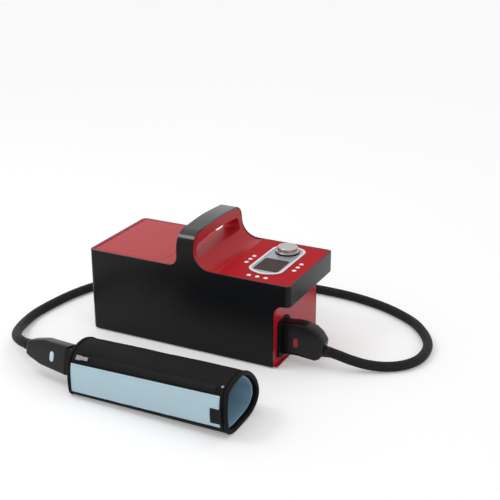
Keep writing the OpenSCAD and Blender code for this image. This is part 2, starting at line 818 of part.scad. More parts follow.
module strainer() {
    color("#5a6066") translate([mouth_x1 - seam, pump_y, outlet_z]) rotate([0, -90, 0]) difference() {
        union() {
            cylinder(d = strainer_flange_d, h = strainer_t);
            cylinder(d = strainer_d, h = strainer_l);
        }
        translate([0, 0, -over])
            cylinder(d = strainer_d - 2 * strainer_t, h = strainer_l - strainer_t + over);
        for (i = [1:strainer_slots]) rotate([0, 0, i * 360 / strainer_slots])
            translate([0, -slot_w / 2, strainer_l - strainer_t - slot_l])
                cube([strainer_d, slot_w, slot_l]);
    }
}

// ---------------------------------------------------------------- pump, compressor and tubes

// Places what follows on a shaft along +X, at the given start
module shaft_at(x, y, z) {
    translate([x, y, z]) rotate([0, 90, 0]) children();
}

module pump_housing() {
    color("#33373a") difference() {
        union() {
            shaft_at(pump_x, pump_y, axle_z) cylinder(d = pump_d, h = pump_l);
            shaft_at(pump_x - inlet_l, pump_y, axle_z) cylinder(d = spigot_d, h = inlet_l + over);
            translate([pump_x + pump_l / 2, pump_y, axle_z])
                cylinder(d = spigot_d, h = pump_d / 2 + outlet_l);
        }
        shaft_at(pump_x + pump_wall, pump_y, axle_z)
            cylinder(d = pump_d - 2 * pump_wall, h = pump_l - 2 * pump_wall);
        shaft_at(pump_x - inlet_l - over, pump_y, axle_z)
            cylinder(d = bore_d, h = inlet_l + pump_wall + 2 * over);
        shaft_at(pump_x + pump_wall, pump_y, axle_z) cylinder(d = shaft_d + 2 * run_gap, h = pump_l);
        translate([pump_x + pump_l / 2, pump_y, axle_z]) cylinder(d = bore_d, h = pump_d);
    }
}

module pump_motor() {
    color("#8d9296") difference() {
        shaft_at(motor_x, pump_y, axle_z) cylinder(d = motor_d, h = motor_l);
        shaft_at(motor_x - over, pump_y, axle_z)
            cylinder(d = shaft_d + 2 * run_gap, h = motor_l - motor_end + over);
    }
}

module pump_rotor() {
    color("gainsboro") shaft_at(rotor_x, pump_y, axle_z) {
        cylinder(d = shaft_d, h = motor_x + motor_l - motor_end - rotor_x - over);
        cylinder(r = rotor_r, h = rotor_t);
        for (i = [1:blades]) rotate([0, 0, i * 360 / blades])
            translate([0, -rotor_t / 2, 0]) cube([rotor_r - over / 2, rotor_t, pump_l - 2 * pump_wall - 4]);
    }
}

module compressor_housing() {
    color("#3c4246") difference() {
        union() {
            translate([comp_x, comp_y - comp_w / 2, tray_z]) cube([comp_l, comp_w, comp_w]);
            translate([comp_x + comp_l / 2, comp_y, comp_z]) cylinder(d = comp_head_d, h = comp_top - comp_z);
        }
        shaft_at(comp_x + comp_wall, comp_y, comp_z)
            cylinder(r = crank_r + crank_throw + 2, h = crank_t * 2);
        shaft_at(comp_x - over, comp_y, comp_z) cylinder(d = shaft_d + 2 * run_gap, h = comp_l + 2 * over);
    }
}

module compressor_motor() {
    color("#8d9296") difference() {
        shaft_at(comp_x - comp_motor_l, comp_y, comp_z) cylinder(d = comp_w - 8, h = comp_motor_l - seam);
        shaft_at(comp_x - shaft_reach - over, comp_y, comp_z)
            cylinder(d = shaft_d + 2 * run_gap, h = shaft_reach + 2 * over);
    }
}

module compressor_crank() {
    color("gainsboro") shaft_at(comp_x, comp_y, comp_z) {
        translate([0, 0, -shaft_reach]) cylinder(d = shaft_d, h = shaft_reach + comp_l - 2 * over);
        translate([crank_throw, 0, comp_wall + crank_t / 2]) cylinder(r = crank_r, h = crank_t);
    }
}

module valve_block() {
    color("#4a4f53") {
        translate([valve_x0, -port_y - valve_w / 2, tray_z]) cube([valve_l, valve_w, valve_top - tray_z]);
        for (x = [valve_x0 + coil_d * 0.7, valve_x1 - coil_d * 0.7])
            translate([x, -port_y, valve_top - over]) cylinder(d = coil_d, h = coil_h + over);
        // short spigots to the port
        for (i = [-1:1]) shaft_at(valve_x1 - over, -port_y, port_z + i * nipple_pitch)
            cylinder(d = nipple_pitch - 2, h = port_back - valve_x1 + over);
    }
}

// A tube inside the case, smoothed through the given points
module inner_tube(route, d, across) {
    loft(tube_rings(route, 4, d / 2, 10, across));
}

module suction_tube() {
    start = mouth_x1 + tub_t + seam;
    end = pump_x - inlet_l;
    color("#9fb7c4") inner_tube([
        [start, pump_y, outlet_z], [start + tube_d, pump_y, outlet_z],
        [end - tube_d, pump_y, axle_z], [end, pump_y, axle_z]
    ], tube_d, [0, 1, 0]);
}

module delivery_tube() {
    x = pump_x + pump_l / 2;
    z = axle_z + pump_d / 2 + outlet_l;
    end = valve_top - tube_d;
    color("#9fb7c4") inner_tube([
        [x, pump_y, z], [x, pump_y, z + tube_bend], [x + 1.4 * tube_bend, pump_y, z + 2.1 * tube_bend],
        [valve_x0 - 2 * tube_d, -port_y, end + tube_d], [valve_x0 - tube_bend, -port_y, end],
        [valve_x0, -port_y, end]
    ], tube_d, [0, 1, 0]);
}

module return_tube() {
    start = mouth_x1 + tub_t + seam;
    span = valve_x0 - start;
    rear = -port_y + valve_w / 2;
    turn_x = valve_x0 + tube_d - 2;
    end = valve_top - tube_d;
    color("#9fb7c4") inner_tube([
        [start, return_y, return_z], [start + 2 * tube_bend, return_y, return_z],
        [start + 0.36 * span, return_y - tube_bend / 2, return_z + tube_d / 2],
        [start + 0.7 * span, return_y / 6, return_z + tube_bend],
        [turn_x - tube_d, rear + 3 * tube_bend, return_z - tube_bend],
        [turn_x, rear + 3 * tube_bend, end + 1.5 * tube_d],
        [turn_x, rear + 1.5 * tube_bend, end], [turn_x, rear, end]
    ], tube_d, [0, 0, 1]);
}

module air_tube() {
    x = comp_x + comp_l / 2;
    rear = -port_y + valve_w / 2;
    air_end = valve_top - 20;
    color("#2b2b2b") inner_tube([
        [x, comp_y, comp_top], [x, comp_y, comp_top + air_d],
        [x + 3, comp_y - 1.5 * air_d, comp_top + 2 * air_d],
        [valve_x1 - 2, comp_y - 5 * air_d, comp_top + air_d],
        [valve_x1 - air_d, rear + 1.5 * air_d, air_end], [valve_x1 - air_d, rear, air_end]
    ], air_d, [1, 0, 0]);
}

// ---------------------------------------------------------------- boards and controls

module main_board() {
    color("#1f6b3a") {
        translate([main_x, main_y - board_t, main_z]) cube([main_l, board_t, main_h]);
        for (p = chips) translate([main_x + p[0], main_y - board_t - chip_t, main_z + p[1]])
            cube([p[2], chip_t + board_t / 2, p[3]]);
    }
}

// The board with a switch for each key and the display module
module display_board() {
    color("#1f6b3a") {
        translate([board_left, board_front, board_z - board_t])
            cube([board_right - board_left, board_rear - board_front, board_t]);
        for (p = key_places) translate([p.x, p.y, board_z - board_t / 2])
            cylinder(d = key_d / 2, h = board_t / 2 + switch_h);
        upright(board_z - board_t / 2, pocket_z) polygon(window_plan(-seam * 3));
    }
}

function window_plan(inset) = box_outline(
    panel_x - window_w / 2 + inset, panel_x + window_w / 2 - inset,
    -window_front + inset, window_rear - inset, window_r);

// Plan of the bezel: straight sides and bulging ends, drawn inwards by inset
module bezel_shape(inset) {
    half = bezel_w / 2 - inset;
    front = -bezel_front + inset;
    rear = bezel_rear - inset;
    polygon(outline([
        [panel_x - half, front + bezel_bulge, bezel_r - inset], [panel_x, front - 2, bezel_crown_r],
        [panel_x + half, front + bezel_bulge, bezel_r - inset],
        [panel_x + half, rear - bezel_bulge, bezel_r - inset], [panel_x, rear + 2, bezel_crown_r],
        [panel_x - half, rear - bezel_bulge, bezel_r - inset]
    ]));
}

module display_bezel() {
    color("#c9ccd2") difference() {
        translate([0, 0, pocket_z]) linear_extrude(deck_z + rim_h - pocket_z) bezel_shape(0);
        translate([0, 0, field_z]) linear_extrude(10) bezel_shape(rim_w);
        upright(pocket_z - over, deck_z + 5) polygon(window_plan(-seam));
        translate([panel_x, knob_y, pocket_z - over]) cylinder(d = bushing_d + 1, h = 5);
    }
}

module display_lens() {
    color("#3b2a2c") upright(pocket_z + seam, field_z - 0.1) polygon(window_plan(0));
}

module encoder() {
    color("#55595d") difference() {
        union() {
            translate([panel_x - encoder_w / 2, knob_y - encoder_w / 2, board_z])
                cube([encoder_w, encoder_w, encoder_h]);
            translate([panel_x, knob_y, board_z]) cylinder(d = bushing_d, h = field_z - board_z);
        }
        translate([panel_x, knob_y, board_z + 2]) cylinder(d = plunger_d + 2 * run_gap, h = field_z);
    }
}

module knob_collar() {
    color("#101214") translate([panel_x, knob_y, field_z]) difference() {
        cylinder(d = skirt_d + 2 * collar_reach, h = collar_h);
        translate([0, 0, -over]) cylinder(d = knob_d - 14, h = collar_h + 2 * over);
    }
}

module knob_plunger() {
    color("silver") translate([panel_x, knob_y, plunger_z])
        cylinder(d = plunger_d, h = knob_z + knob_h - knob_roof - seam - plunger_z);
}

module knob() {
    r = knob_d / 2;
    s = skirt_d / 2;
    color("#cfd0cf") translate([panel_x, knob_y, knob_z]) difference() {
        rotate_extrude() polygon(concat(
            [[0, 0], [s - 0.5, 0], [s, 0.5], [s, 1.1], [s - 0.5, 1.6], [r + 1.2, 2], [r, 3.2]],
            arc([r - 2, knob_h - 2], 2, 0, 90),
            [[r - 4.5, knob_h], [r - 5.5, knob_h - 0.5], [0, knob_h - 0.5]]
        ));
        translate([0, 0, -over]) cylinder(d = plunger_d + 2 * run_gap, h = knob_h - knob_roof + over);
    }
}

module key(n) {
    p = key_places[n - 1];
    r = key_d / 2;
    color("white") translate([p.x, p.y, 0]) rotate_extrude() polygon([
        [0, board_z + switch_h + key_foot], [1.5, board_z + switch_h + key_foot],
        [1.5, under_z - 1.6], [r + 1, under_z - 1.6], [r + 1, under_z - 0.3], [r, under_z - 0.3],
        [r, deck_z + key_cap - 0.4], [r - 0.5, deck_z + key_cap - 0.05], [0, deck_z + key_cap]
    ]);
}

// ---------------------------------------------------------------- port and connectors

module hose_port() {
    y0 = -port_y - nose_w / 2 - port_wall;
    z0 = port_z - nose_h / 2 - port_wall;
    color("#2a2d30") {
        difference() {
            translate([port_back, y0, z0])
                cube([port_l, nose_w + 2 * port_wall, nose_h + 2 * port_wall]);
            translate([recess_x - core_t - nose_l, -port_y - nose_w / 2 - seam, port_z - nose_h / 2 - seam])
                cube([nose_l + over, nose_w + 2 * seam, nose_h + 2 * seam]);
        }
        for (i = [-1:1]) translate([recess_x - core_t - nose_l - over, -port_y, port_z + i * nipple_pitch])
            rotate([0, 90, 0]) cylinder(d = nipple_d, h = nipple_l + over);
    }
}

module port_bezel() {
    y0 = -port_y - grip_w / 2 - seam;
    z0 = port_z - unit_plug_h / 2 - seam;
    color("#141618") difference() {
        along(recess_x, recess_x + socket_t) polygon(box_outline(
            y0 - socket_side, -y0 - 2 * port_y + socket_rear,
            z0 - socket_rim, 2 * port_z - z0 + socket_rim, 8));
        along(recess_x - over, recess_x + socket_t + over) polygon(box_outline(
            y0, -y0 - 2 * port_y, z0, 2 * port_z - z0, 4));
    }
}

module power_inlet() {
    color("#141618") difference() {
        shaft_at(recess_x, inlet_y, inlet_z) {
            cylinder(d = inlet_d + 2 * inlet_flange, h = inlet_flange_t);
            translate([0, 0, -inlet_depth]) cylinder(d = inlet_d, h = inlet_depth + over);
        }
        shaft_at(recess_x - inlet_depth / 2, inlet_y, inlet_z) cylinder(d = inlet_bore, h = inlet_depth);
    }
    color("silver") shaft_at(recess_x - inlet_depth / 2 - over, inlet_y, inlet_z) cylinder(d = 2, h = 8);
}

// An outline with every point moved towards the outline's inside by d
function inset_points(v, d) = [
    for (i = [0:len(v) - 1])
        let (e = unit(v[(i + 1) % len(v)] - v[(i + len(v) - 1) % len(v)])) v[i] + d * [e.y, -e.x]
];

// An outline's corners moved towards its inside by d, with their radii to match
function inset_corners(v, d) = [
    for (i = [0:len(v) - 1])
        let (
            p = [v[i].x, v[i].y],
            a = v[(i + len(v) - 1) % len(v)],
            b = v[(i + 1) % len(v)],
            e = unit(p - [a.x, a.y]),
            f = unit([b.x, b.y] - p),
            bend = sign(e.x * f.y - e.y * f.x),
            q = p + d * [e.y + f.y, -e.x - f.x] / (1 + e * f)
        )
        [q.x, q.y, max(0.5, v[i].z + bend * d)]
];

// A grip: an outline drawn in X and Z, thick along Y, with its edges rounded more at the back
module rounded_slab(v, thick, face) {
    steps = 4;
    function edge(k, side) = let (r = side == face ? grip_back_r : grip_edge_r)
        [r * (1 - sin(90 * k / steps)), side * (thick / 2 - r * (1 - cos(90 * k / steps)))];
    levels = concat([for (k = [0:steps]) edge(k, 1)], [for (k = [steps:-1:0]) edge(k, -1)]);
    loft([for (e = levels) [for (p = outline(inset_corners(v, e[0]))) [p.x, e[1], p.y]]]);
}

module release_shape(grow) {
    for (s = [-1, 1]) translate([0, s * (release_h - release_w) / 2]) circle(d = release_w + 2 * grow);
    square([release_w + 2 * grow, release_h - release_w], center = true);
}

// The connector, drawn with its plug face at the origin and the hose leaving along +X at tail
module connector(grip, button, face, tail) {
    translate([tail.x - tail_l, 0, tail.y]) rotate([0, 90, 0]) cylinder(d = tail_d, h = tail_l);
    difference() {
        rounded_slab(grip, grip_w, face);
        translate([button.x, -face * grip_w / 2, button.y]) rotate([face * 90, 0, 0])
            translate([0, 0, -release_deep]) linear_extrude(2 * release_deep) release_shape(key_gap);
    }
    difference() {
        translate([seam - nose_l, -nose_w / 2, -nose_h / 2]) cube([nose_l + 3, nose_w, nose_h]);
        for (i = [-1:1]) translate([-nose_l, 0, i * nipple_pitch]) rotate([0, 90, 0])
            cylinder(d = nipple_d + 2 * nipple_gap, h = nipple_l + over);
    }
}

// A release button: a flat oval with a raised middle, just proud of the connector's face
module release(button, face) {
    low = release_travel + release_gap - release_deep;
    translate([button.x, -face * grip_w / 2, button.y]) rotate([face * 90, 0, 0]) {
        translate([0, 0, low]) linear_extrude(0.7 - low) release_shape(0);
        translate([0, 0, 0.6]) linear_extrude(0.5) release_shape(-0.6);
    }
}

module at_unit_plug() {
    translate([recess_x, -port_y, port_z]) children();
}

module at_wrap_plug() {
    d = wrap_tail_at - wrap_plug_at;
    translate(wrap_plug_at) rotate([0, 0, atan2(d.y, d.x)]) rotate([wrap_plug_roll, 0, 0]) children();
}

module unit_connector() {
    color("#202326") at_unit_plug() connector(grip_unit, release_at, 1, unit_tail_at);
}

module unit_release() {
    color("#8e1f2a") at_unit_plug() release(release_at, 1);
}

module wrap_connector() {
    color("#202326") at_wrap_plug()
        connector(grip_wrap, wrap_release_at, -1, [norm(wrap_tail_at - wrap_plug_at), 0]);
}

module wrap_release() {
    color("#d9e8f2") at_wrap_plug() release(wrap_release_at, -1);
}

module hose() {
    color("#1b1c1e") loft(tube_rings(hose_route, 2, hose_d / 2, 10, [0, 0, 1]));
}

// ---------------------------------------------------------------- wrap

// The sleeve's section at x, smoothed and moved outwards by d: a list of [y, z]
function section(x, d) =
    let (
        f = (x - wrap_x0) / (wrap_x1 - wrap_x0),
        v = smooth_loop([for (i = [0:len(section_left) - 1])
            (1 - f) * section_left[i] + f * section_right[i]], section_fine)
    )
    inset_points(v, -d);

function section_ring(x, d) = [for (p = section(x, d)) [x, p.x, max(p.y, 0)]];

function station(i, from, to) = from + (to - from) * i / stations;

// A tube of the sleeve's section between two depths, from x0 to x1
module wrap_layer(outer, inner, x0, x1) {
    difference() {
        loft([for (i = [0:stations]) section_ring(station(i, x0, x1), outer)]);
        loft([for (i = [0:stations]) section_ring(station(i, x0 - over, x1 + over), inner)]);
    }
}

// A strip that lies on the sleeve between two section points, thick from d0 to d1
module wrap_strip(from, to, d0, d1, x0, x1) {
    loft([for (i = [0:stations])
        let (x = station(i, x0, x1), low = section_ring(x, d0), high = section_ring(x, d1))
        concat([for (k = [from:to]) low[k]], [for (k = [to:-1:from]) high[k]])]);
}

module wrap_sleeve() {
    color("#17181a") wrap_layer(0, -wrap_t, wrap_x0, wrap_x1);
}

module wrap_lining() {
    outer = -wrap_t - layer_gap;
    color("#8fb4cc") wrap_layer(outer, outer - lining_t, wrap_x0 + 4, wrap_x1 - 1);
}

module wrap_panel() {
    color("#b9d6e2")
        wrap_strip(panel_from, panel_to, layer_gap, layer_gap + panel_t, wrap_x0 + 1, wrap_x1 - 5);
}

// A round cord along the sleeve's section at x
module mouth_piping(x) {
    v = section_ring(x, -wrap_t / 2);
    n = len(v);
    sides = 8;
    rings = [for (i = [0:n - 1])
        let (d = unit(v[(i + 1) % n] - v[(i + n - 1) % n]), out = cross(d, [1, 0, 0]))
        [for (k = [0:sides - 1])
            let (p = v[i] + piping_d / 2 * (cos(360 * k / sides) * out + sin(360 * k / sides) * [1, 0, 0]))
            [p.x, p.y, max(p.z, 0)]]];
    polyhedron(points = [for (ring = rings) each ring], faces = [
        for (i = [0:n - 1], k = [0:sides - 1])
            let (a = i * sides + k, b = i * sides + (k + 1) % sides,
                 c = ((i + 1) % n) * sides + k, e = ((i + 1) % n) * sides + (k + 1) % sides)
            each [[a, c, e], [a, e, b]]
    ]);
}

module wrap_piping() {
    color("#0f1011") {
        mouth_piping(wrap_x0 - piping_d / 2 - layer_gap);
        mouth_piping(wrap_x1 + piping_d / 2 + layer_gap);
    }
}

module zip_tape() {
    color("#1f2022")
        wrap_strip(zip_from, zip_to, layer_gap, layer_gap + zip_t, wrap_x0 + zip_end, wrap_x1 - zip_stop);
}

// The tab on the panel's end, and the rivet by the right mouth
module wrap_tab() {
    skin = 2 * layer_gap + panel_t;
    x = wrap_x1 - tab_w / 2 - 0.5;
    v = section(x, layer_gap);
    lean = atan2(v[rivet_k + 1].y - v[rivet_k - 1].y, v[rivet_k + 1].x - v[rivet_k - 1].x);
    color("#101112") wrap_strip(tab_from, tab_to, skin, skin + panel_t, x - tab_w / 2, x + tab_w / 2);
    color("#8f9499") translate([x + tab_w / 4, v[rivet_k].x, v[rivet_k].y]) rotate([lean, 0, 0])
        cylinder(d = rivet_d, h = panel_t);
}

module wrap_port() {
    wall = [for (p = section(wrap_x0, -wrap_t - lining_t - 2 * layer_gap))
        if (p.x < wrap_plug_at.y && abs(p.y - wrap_plug_at.z) < tongue_h / 2 + 4) p.x];
    wall_y = max(wall);
    tongue_x = wrap_x0 - 14;
    port_w = nose_w + 2 * port_wall - 2;
    port_h = nose_h + 2 * port_wall - 2;
    color("#2a2d30") {
        difference() {
            union() {
                at_wrap_plug() translate([-nose_l - port_wall - 2, -port_w / 2, -port_h / 2])
                    cube([nose_l + port_wall + 2, port_w, port_h]);
                // tongue along the lining that holds the port
                translate([tongue_x, wall_y, wrap_plug_at.z - tongue_h / 2])
                    cube([10, tongue_w, tongue_h]);
                translate([tongue_x, wall_y, wrap_plug_at.z - tongue_h / 2])
                    cube([tongue_l, tongue_t, tongue_h]);
            }
            at_wrap_plug() translate([-nose_l, -nose_w / 2 - seam, -nose_h / 2 - seam])
                cube([nose_l + over, nose_w + 2 * seam, nose_h + 2 * seam]);
        }
        at_wrap_plug() for (i = [-1:1]) translate([-nose_l - over, 0, i * nipple_pitch])
            rotate([0, 90, 0]) cylinder(d = nipple_d, h = nipple_l + over);
    }
}

// The zip's slider at its closed end, square to the tape
module zip_slider() {
    left = section(wrap_x0 + zip_in, layer_gap + zip_t);
    right = section(wrap_x1 - zip_in, layer_gap + zip_t);
    p = [wrap_x0 + zip_in, left[zip_k].x, left[zip_k].y];
    q = [wrap_x1 - zip_in, right[zip_k].x, right[zip_k].y];
    d = unit(q - p);
    lean = atan2(left[zip_k + 1].y - left[zip_k - 1].y, left[zip_k + 1].x - left[zip_k - 1].x);
    color("silver") translate(p) rotate([lean, -asin(d.z), atan2(d.y, d.x)]) {
        translate([-5, -4, slider_gap]) cube([10, 8, 3]);
        translate([3, -3, slider_gap + 2]) cube([16, 6, 1.4]);
    }
}

front_shell();
rear_shell();
base_tray();
foot_ring();
base_screws();
lid_frame();
handle_core();
handle_grip();
control_deck();
tub_jacket();
reservoir_tub();
strainer();
hinge_pins();
lid();
lid_plug();
lid_seal();
pump_housing();
pump_motor();
pump_rotor();
compressor_housing();
compressor_motor();
compressor_crank();
valve_block();
suction_tube();
delivery_tube();
return_tube();
air_tube();
main_board();
display_board();
display_bezel();
display_lens();
encoder();
knob_collar();
knob_plunger();
knob();
key(1);  // key_1
key(2);  // key_2
key(3);  // key_3
key(4);  // key_4
key(5);  // key_5
key(6);  // key_6
key(7);  // key_7
key(8);  // key_8
key(9);  // key_9
hose_port();
port_bezel();
power_inlet();
unit_connector();
unit_release();
hose();
wrap_connector();
wrap_release();
wrap_port();
wrap_sleeve();
wrap_lining();
wrap_panel();
wrap_piping();
wrap_tab();
zip_tape();
zip_slider();
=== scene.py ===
"""Looks for the hot and cold therapy unit, its braided hose and its limb wrap."""

import json
import math

import bmesh
import bpy
from bpy.props import FloatProperty, FloatVectorProperty, IntProperty, PointerProperty
from mathutils import Matrix, Vector, noise

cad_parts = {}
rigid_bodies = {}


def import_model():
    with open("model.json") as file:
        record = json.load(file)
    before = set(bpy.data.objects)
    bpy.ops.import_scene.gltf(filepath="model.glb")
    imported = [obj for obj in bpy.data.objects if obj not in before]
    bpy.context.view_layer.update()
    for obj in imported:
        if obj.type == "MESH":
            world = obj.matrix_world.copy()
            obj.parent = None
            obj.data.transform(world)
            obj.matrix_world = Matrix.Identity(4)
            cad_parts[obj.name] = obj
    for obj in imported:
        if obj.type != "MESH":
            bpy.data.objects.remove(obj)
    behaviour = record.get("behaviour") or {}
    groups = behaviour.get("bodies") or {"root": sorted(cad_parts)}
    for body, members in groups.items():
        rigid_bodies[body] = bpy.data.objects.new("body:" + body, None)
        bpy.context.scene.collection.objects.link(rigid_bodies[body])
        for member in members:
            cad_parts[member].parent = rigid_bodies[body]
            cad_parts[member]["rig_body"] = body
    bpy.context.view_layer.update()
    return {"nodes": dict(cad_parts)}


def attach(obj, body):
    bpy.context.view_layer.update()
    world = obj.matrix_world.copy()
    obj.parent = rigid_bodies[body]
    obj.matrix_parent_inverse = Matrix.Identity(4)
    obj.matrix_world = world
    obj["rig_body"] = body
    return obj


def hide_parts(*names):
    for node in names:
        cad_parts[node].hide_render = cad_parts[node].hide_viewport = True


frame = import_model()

bl_info = {
    "name": "Cold therapy unit",
    "version": (1, 0, 0),
    "blender": (4, 5, 0),
    "location": "3D View > Sidebar > Therapy unit",
    "description": "Builds the visible pieces of a cold therapy unit, its hose and its wrap",
    "category": "Add Mesh",
}

MM = 0.001
NODES = frame["nodes"]

# Route of the hose's centre line in millimetres, from the unit to the wrap
HOSE_ROUTE = [
    (258, -51.2, 32), (266, -51.2, 32), (280, -50.3, 29.5), (302, -45, 22.5), (330, -33.5, 14),
    (361, -17, 9.5), (388, 6, 9.2), (403, 41, 9.2), (402, 88, 9.2), (385, 130, 9.2),
    (352, 173, 9.2), (314, 201, 9.2), (272, 222, 9.2), (231, 235, 9.2), (190, 243, 9.2),
    (145, 246, 9.2), (90, 246, 9.2), (30, 244, 9.2), (-35, 240, 9.2), (-100, 230, 9.2),
    (-160, 209, 9.2), (-212, 178, 9.2), (-255, 138, 9.2), (-288, 92, 9.2), (-311, 42, 9.2),
    (-325, -8, 9.2), (-332, -60, 9.2), (-334, -108, 9.2), (-327, -146, 11), (-313, -182, 16.5),
    (-293, -217, 25.5), (-272, -245, 34), (-251, -265, 40.5), (-233, -277, 44.5),
    (-218, -282.8, 46), (-210, -284, 46),
]
# Sections of the wrap at its two mouths in millimetres, as (y, z)
WRAP_LEFT, WRAP_RIGHT = -86, 205
SECTION_LEFT = [
    (-322, 0.3), (-333, 3), (-338, 12), (-339, 35), (-337, 58), (-331, 73), (-314, 83),
    (-287, 86), (-262, 77), (-244, 61), (-234, 43), (-233, 27), (-242, 12), (-262, 3), (-292, 0.3),
]
SECTION_RIGHT = [
    (-318, 0.52), (-335, 6), (-344, 20), (-347, 45), (-345, 70), (-339, 83), (-318, 91),
    (-290, 93.5), (-266, 84), (-246, 67), (-233, 47), (-230, 28), (-240, 12), (-262, 3),
    (-292, 0.52),
]
WRAP_T = 6
# Points round a section at its usual fineness; strips use twice as many
FINE = 6
COLUMNS = len(SECTION_LEFT) * FINE
# Bands of the section, counted in the finer points, that the flat pieces cover
PANEL_BAND, PANEL_SEAMS = (24, 52), (26, 50)
TAB_BAND = (28, 40)
ZIP_BAND, ZIP_MIDDLE = (56, 64), 60
# The rivet's place among the section's points at half fineness
RIVET_AT = 16
# Where the cover may swell, counted in the usual points, and how fast that sets in
LOOSE_FROM, LOOSE_TO, LOOSE_FADE = 37, 97, 5
FLOOR_GAP = 0.0003
CLOTH_FRAMES = 18
# Heights in metres between which the deck's gloss coat fades out
COAT_FADES = (0.12, 0.14)
LAYER_GAP = 0.25
PANEL_T = 1.4
PIPING_D = 8
UNIT_PLUG = Matrix.Translation((0.175, -0.0512, 0.047))
WRAP_PLUG = (
    Matrix.Translation((-0.110, -0.299, 0.046))
    @ Matrix.Rotation(math.atan2(15, -100), 4, "Z")
    @ Matrix.Rotation(math.radians(12), 4, "X")
)
KNOB_AT = Vector((134.5, 51, 165.4)) * MM


# ---------------------------------------------------------------- finishes


class Link:
    """An output socket that takes part in ordinary arithmetic."""

    def __init__(self, paint, socket):
        self.paint = paint
        self.socket = socket

    def maths(self, operation, *values):
        return self.paint.node(
            "ShaderNodeMath", {"operation": operation}, dict(enumerate(values)))

    def __add__(self, other):
        return self.maths("ADD", self, other)

    __radd__ = __add__

    def __sub__(self, other):
        return self.maths("SUBTRACT", self, other)

    def __rsub__(self, other):
        return self.maths("SUBTRACT", other, self)

    def __mul__(self, other):
        return self.maths("MULTIPLY", self, other)

    __rmul__ = __mul__

    def __truediv__(self, other):
        return self.maths("DIVIDE", self, other)

    def __pow__(self, other):
        return self.maths("POWER", self, other)

    def wave(self):
        return self.maths("SINE", self * (2 * math.pi))

    def size(self):
        return self.maths("ABSOLUTE", self)

    def over(self, limit):
        return self.maths("GREATER_THAN", self, limit)

    def highest(self, other):
        return self.maths("MAXIMUM", self, other)

    def step(self, low, high):
        return self.paint.node(
            "ShaderNodeMapRange", {"interpolation_type": "SMOOTHSTEP"},
            {"Value": self, "From Min": low, "From Max": high})


class Paint:
    """A material with one surface shader; its fixed values go straight onto the sockets."""

    def __init__(self, name, **fixed):
        self.material = bpy.data.materials.new(name)
        self.material.use_nodes = True
        self.tree = self.material.node_tree
        self.tree.nodes.clear()
        output = self.tree.nodes.new("ShaderNodeOutputMaterial")
        self.shader = self.tree.nodes.new("ShaderNodeBsdfPrincipled")
        self.tree.links.new(self.shader.outputs[0], output.inputs[0])
        for key, value in fixed.items():
            self.shader.inputs[key.replace("_", " ")].default_value = value
        coordinates = self.tree.nodes.new("ShaderNodeTexCoord")
        self.place = Link(self, coordinates.outputs["Object"])
        self.uv = Link(self, coordinates.outputs["UV"])

    def feed(self, socket, value):
        if isinstance(value, Link):
            self.tree.links.new(value.socket, socket)
        elif socket.type == "RGBA" and len(value) == 3:
            socket.default_value = (*value, 1)
        else:
            socket.default_value = value

    def node(self, kind, settings, inputs, out=0):
        """Adds a node: its settings first, then the values or links of its sockets."""
        made = self.tree.nodes.new(kind)
        for key, value in settings.items():
            setattr(made, key, value)
        for key, value in inputs.items():
            self.feed(made.inputs[key], value)
        return Link(self, made.outputs[out])

    def noise(self, scale, detail=2.0, on=None, roughness=0.5):
        return self.node("ShaderNodeTexNoise", {}, {
            "Vector": on or self.place, "Scale": scale, "Detail": detail, "Roughness": roughness})

    def stretched(self, x, y, z):
        return self.node("ShaderNodeMapping", {}, {"Vector": self.place, "Scale": (x, y, z)})

    def part(self, axis, on=None):
        """One coordinate, 0 to 2, of the piece's place or of another vector."""
        return self.node("ShaderNodeSeparateXYZ", {}, {0: on or self.place}, axis)

    def blend(self, first, second, share):
        """A mix of two colours by a value from 0 to 1."""
        return self.node(
            "ShaderNodeMix", {"data_type": "RGBA"}, {0: share, 6: first, 7: second}, 2)

    def finish(self, colour=None, roughness=None, height=None, depth=0.0001, **other):
        """Links what changes over the surface; the bump's height is in metres."""
        if colour is not None:
            self.feed(self.shader.inputs["Base Color"], colour)
        if roughness is not None:
            self.feed(self.shader.inputs["Roughness"], roughness)
        if height is not None:
            bump = self.node("ShaderNodeBump", {}, {"Height": height, "Distance": depth})
            self.feed(self.shader.inputs["Normal"], bump)
        for key, value in other.items():
            self.feed(self.shader.inputs[key.replace("_", " ")], value)
        return self


def shade(colour, factor):
    return tuple(min(1.0, part * factor) for part in colour)


def moulded(name, colour, rough, grain=1600, spread=0.12, depth=0.00003, **fixed):
    """Moulded plastic: fine grain, faint clouding of the colour and of the gloss."""
    paint = Paint(name, **fixed)
    cloud = paint.noise(22, 3)
    fine = paint.noise(grain, 2)
    return paint.finish(
        paint.blend(shade(colour, 1 - spread), shade(colour, 1 + spread), cloud),
        rough - 0.02 + 0.04 * cloud + 0.03 * fine, fine, depth)


def looks():
    return bpy.context.scene


def shell_black():
    return moulded("Shell black", looks().case_looks.shell_colour, 0.26, 1800, 0.1, 0.00001,
                   Specular_IOR_Level=0.17)


def frame_red():
    return moulded("Frame red", looks().case_looks.top_colour, 0.3, 2400, 0.03, 0.000004,
                   Specular_IOR_Level=0.2)


def core_red():
    return moulded("Core red", looks().case_looks.top_colour, 0.4, 2400, 0.03, 0.000004,
                   Specular_IOR_Level=0.2)


def deck_red():
    """The deck's red; below the head, on the recess wall, a gloss coat comes in."""
    paint = moulded("Deck red", looks().case_looks.top_colour, 0.36, 2400, 0.03, 0.000004,
                    Specular_IOR_Level=0.02, Coat_Roughness=0.25)
    above = paint.part(2).step(*COAT_FADES)
    return paint.finish(Coat_Weight=0.55 * (1 - above))


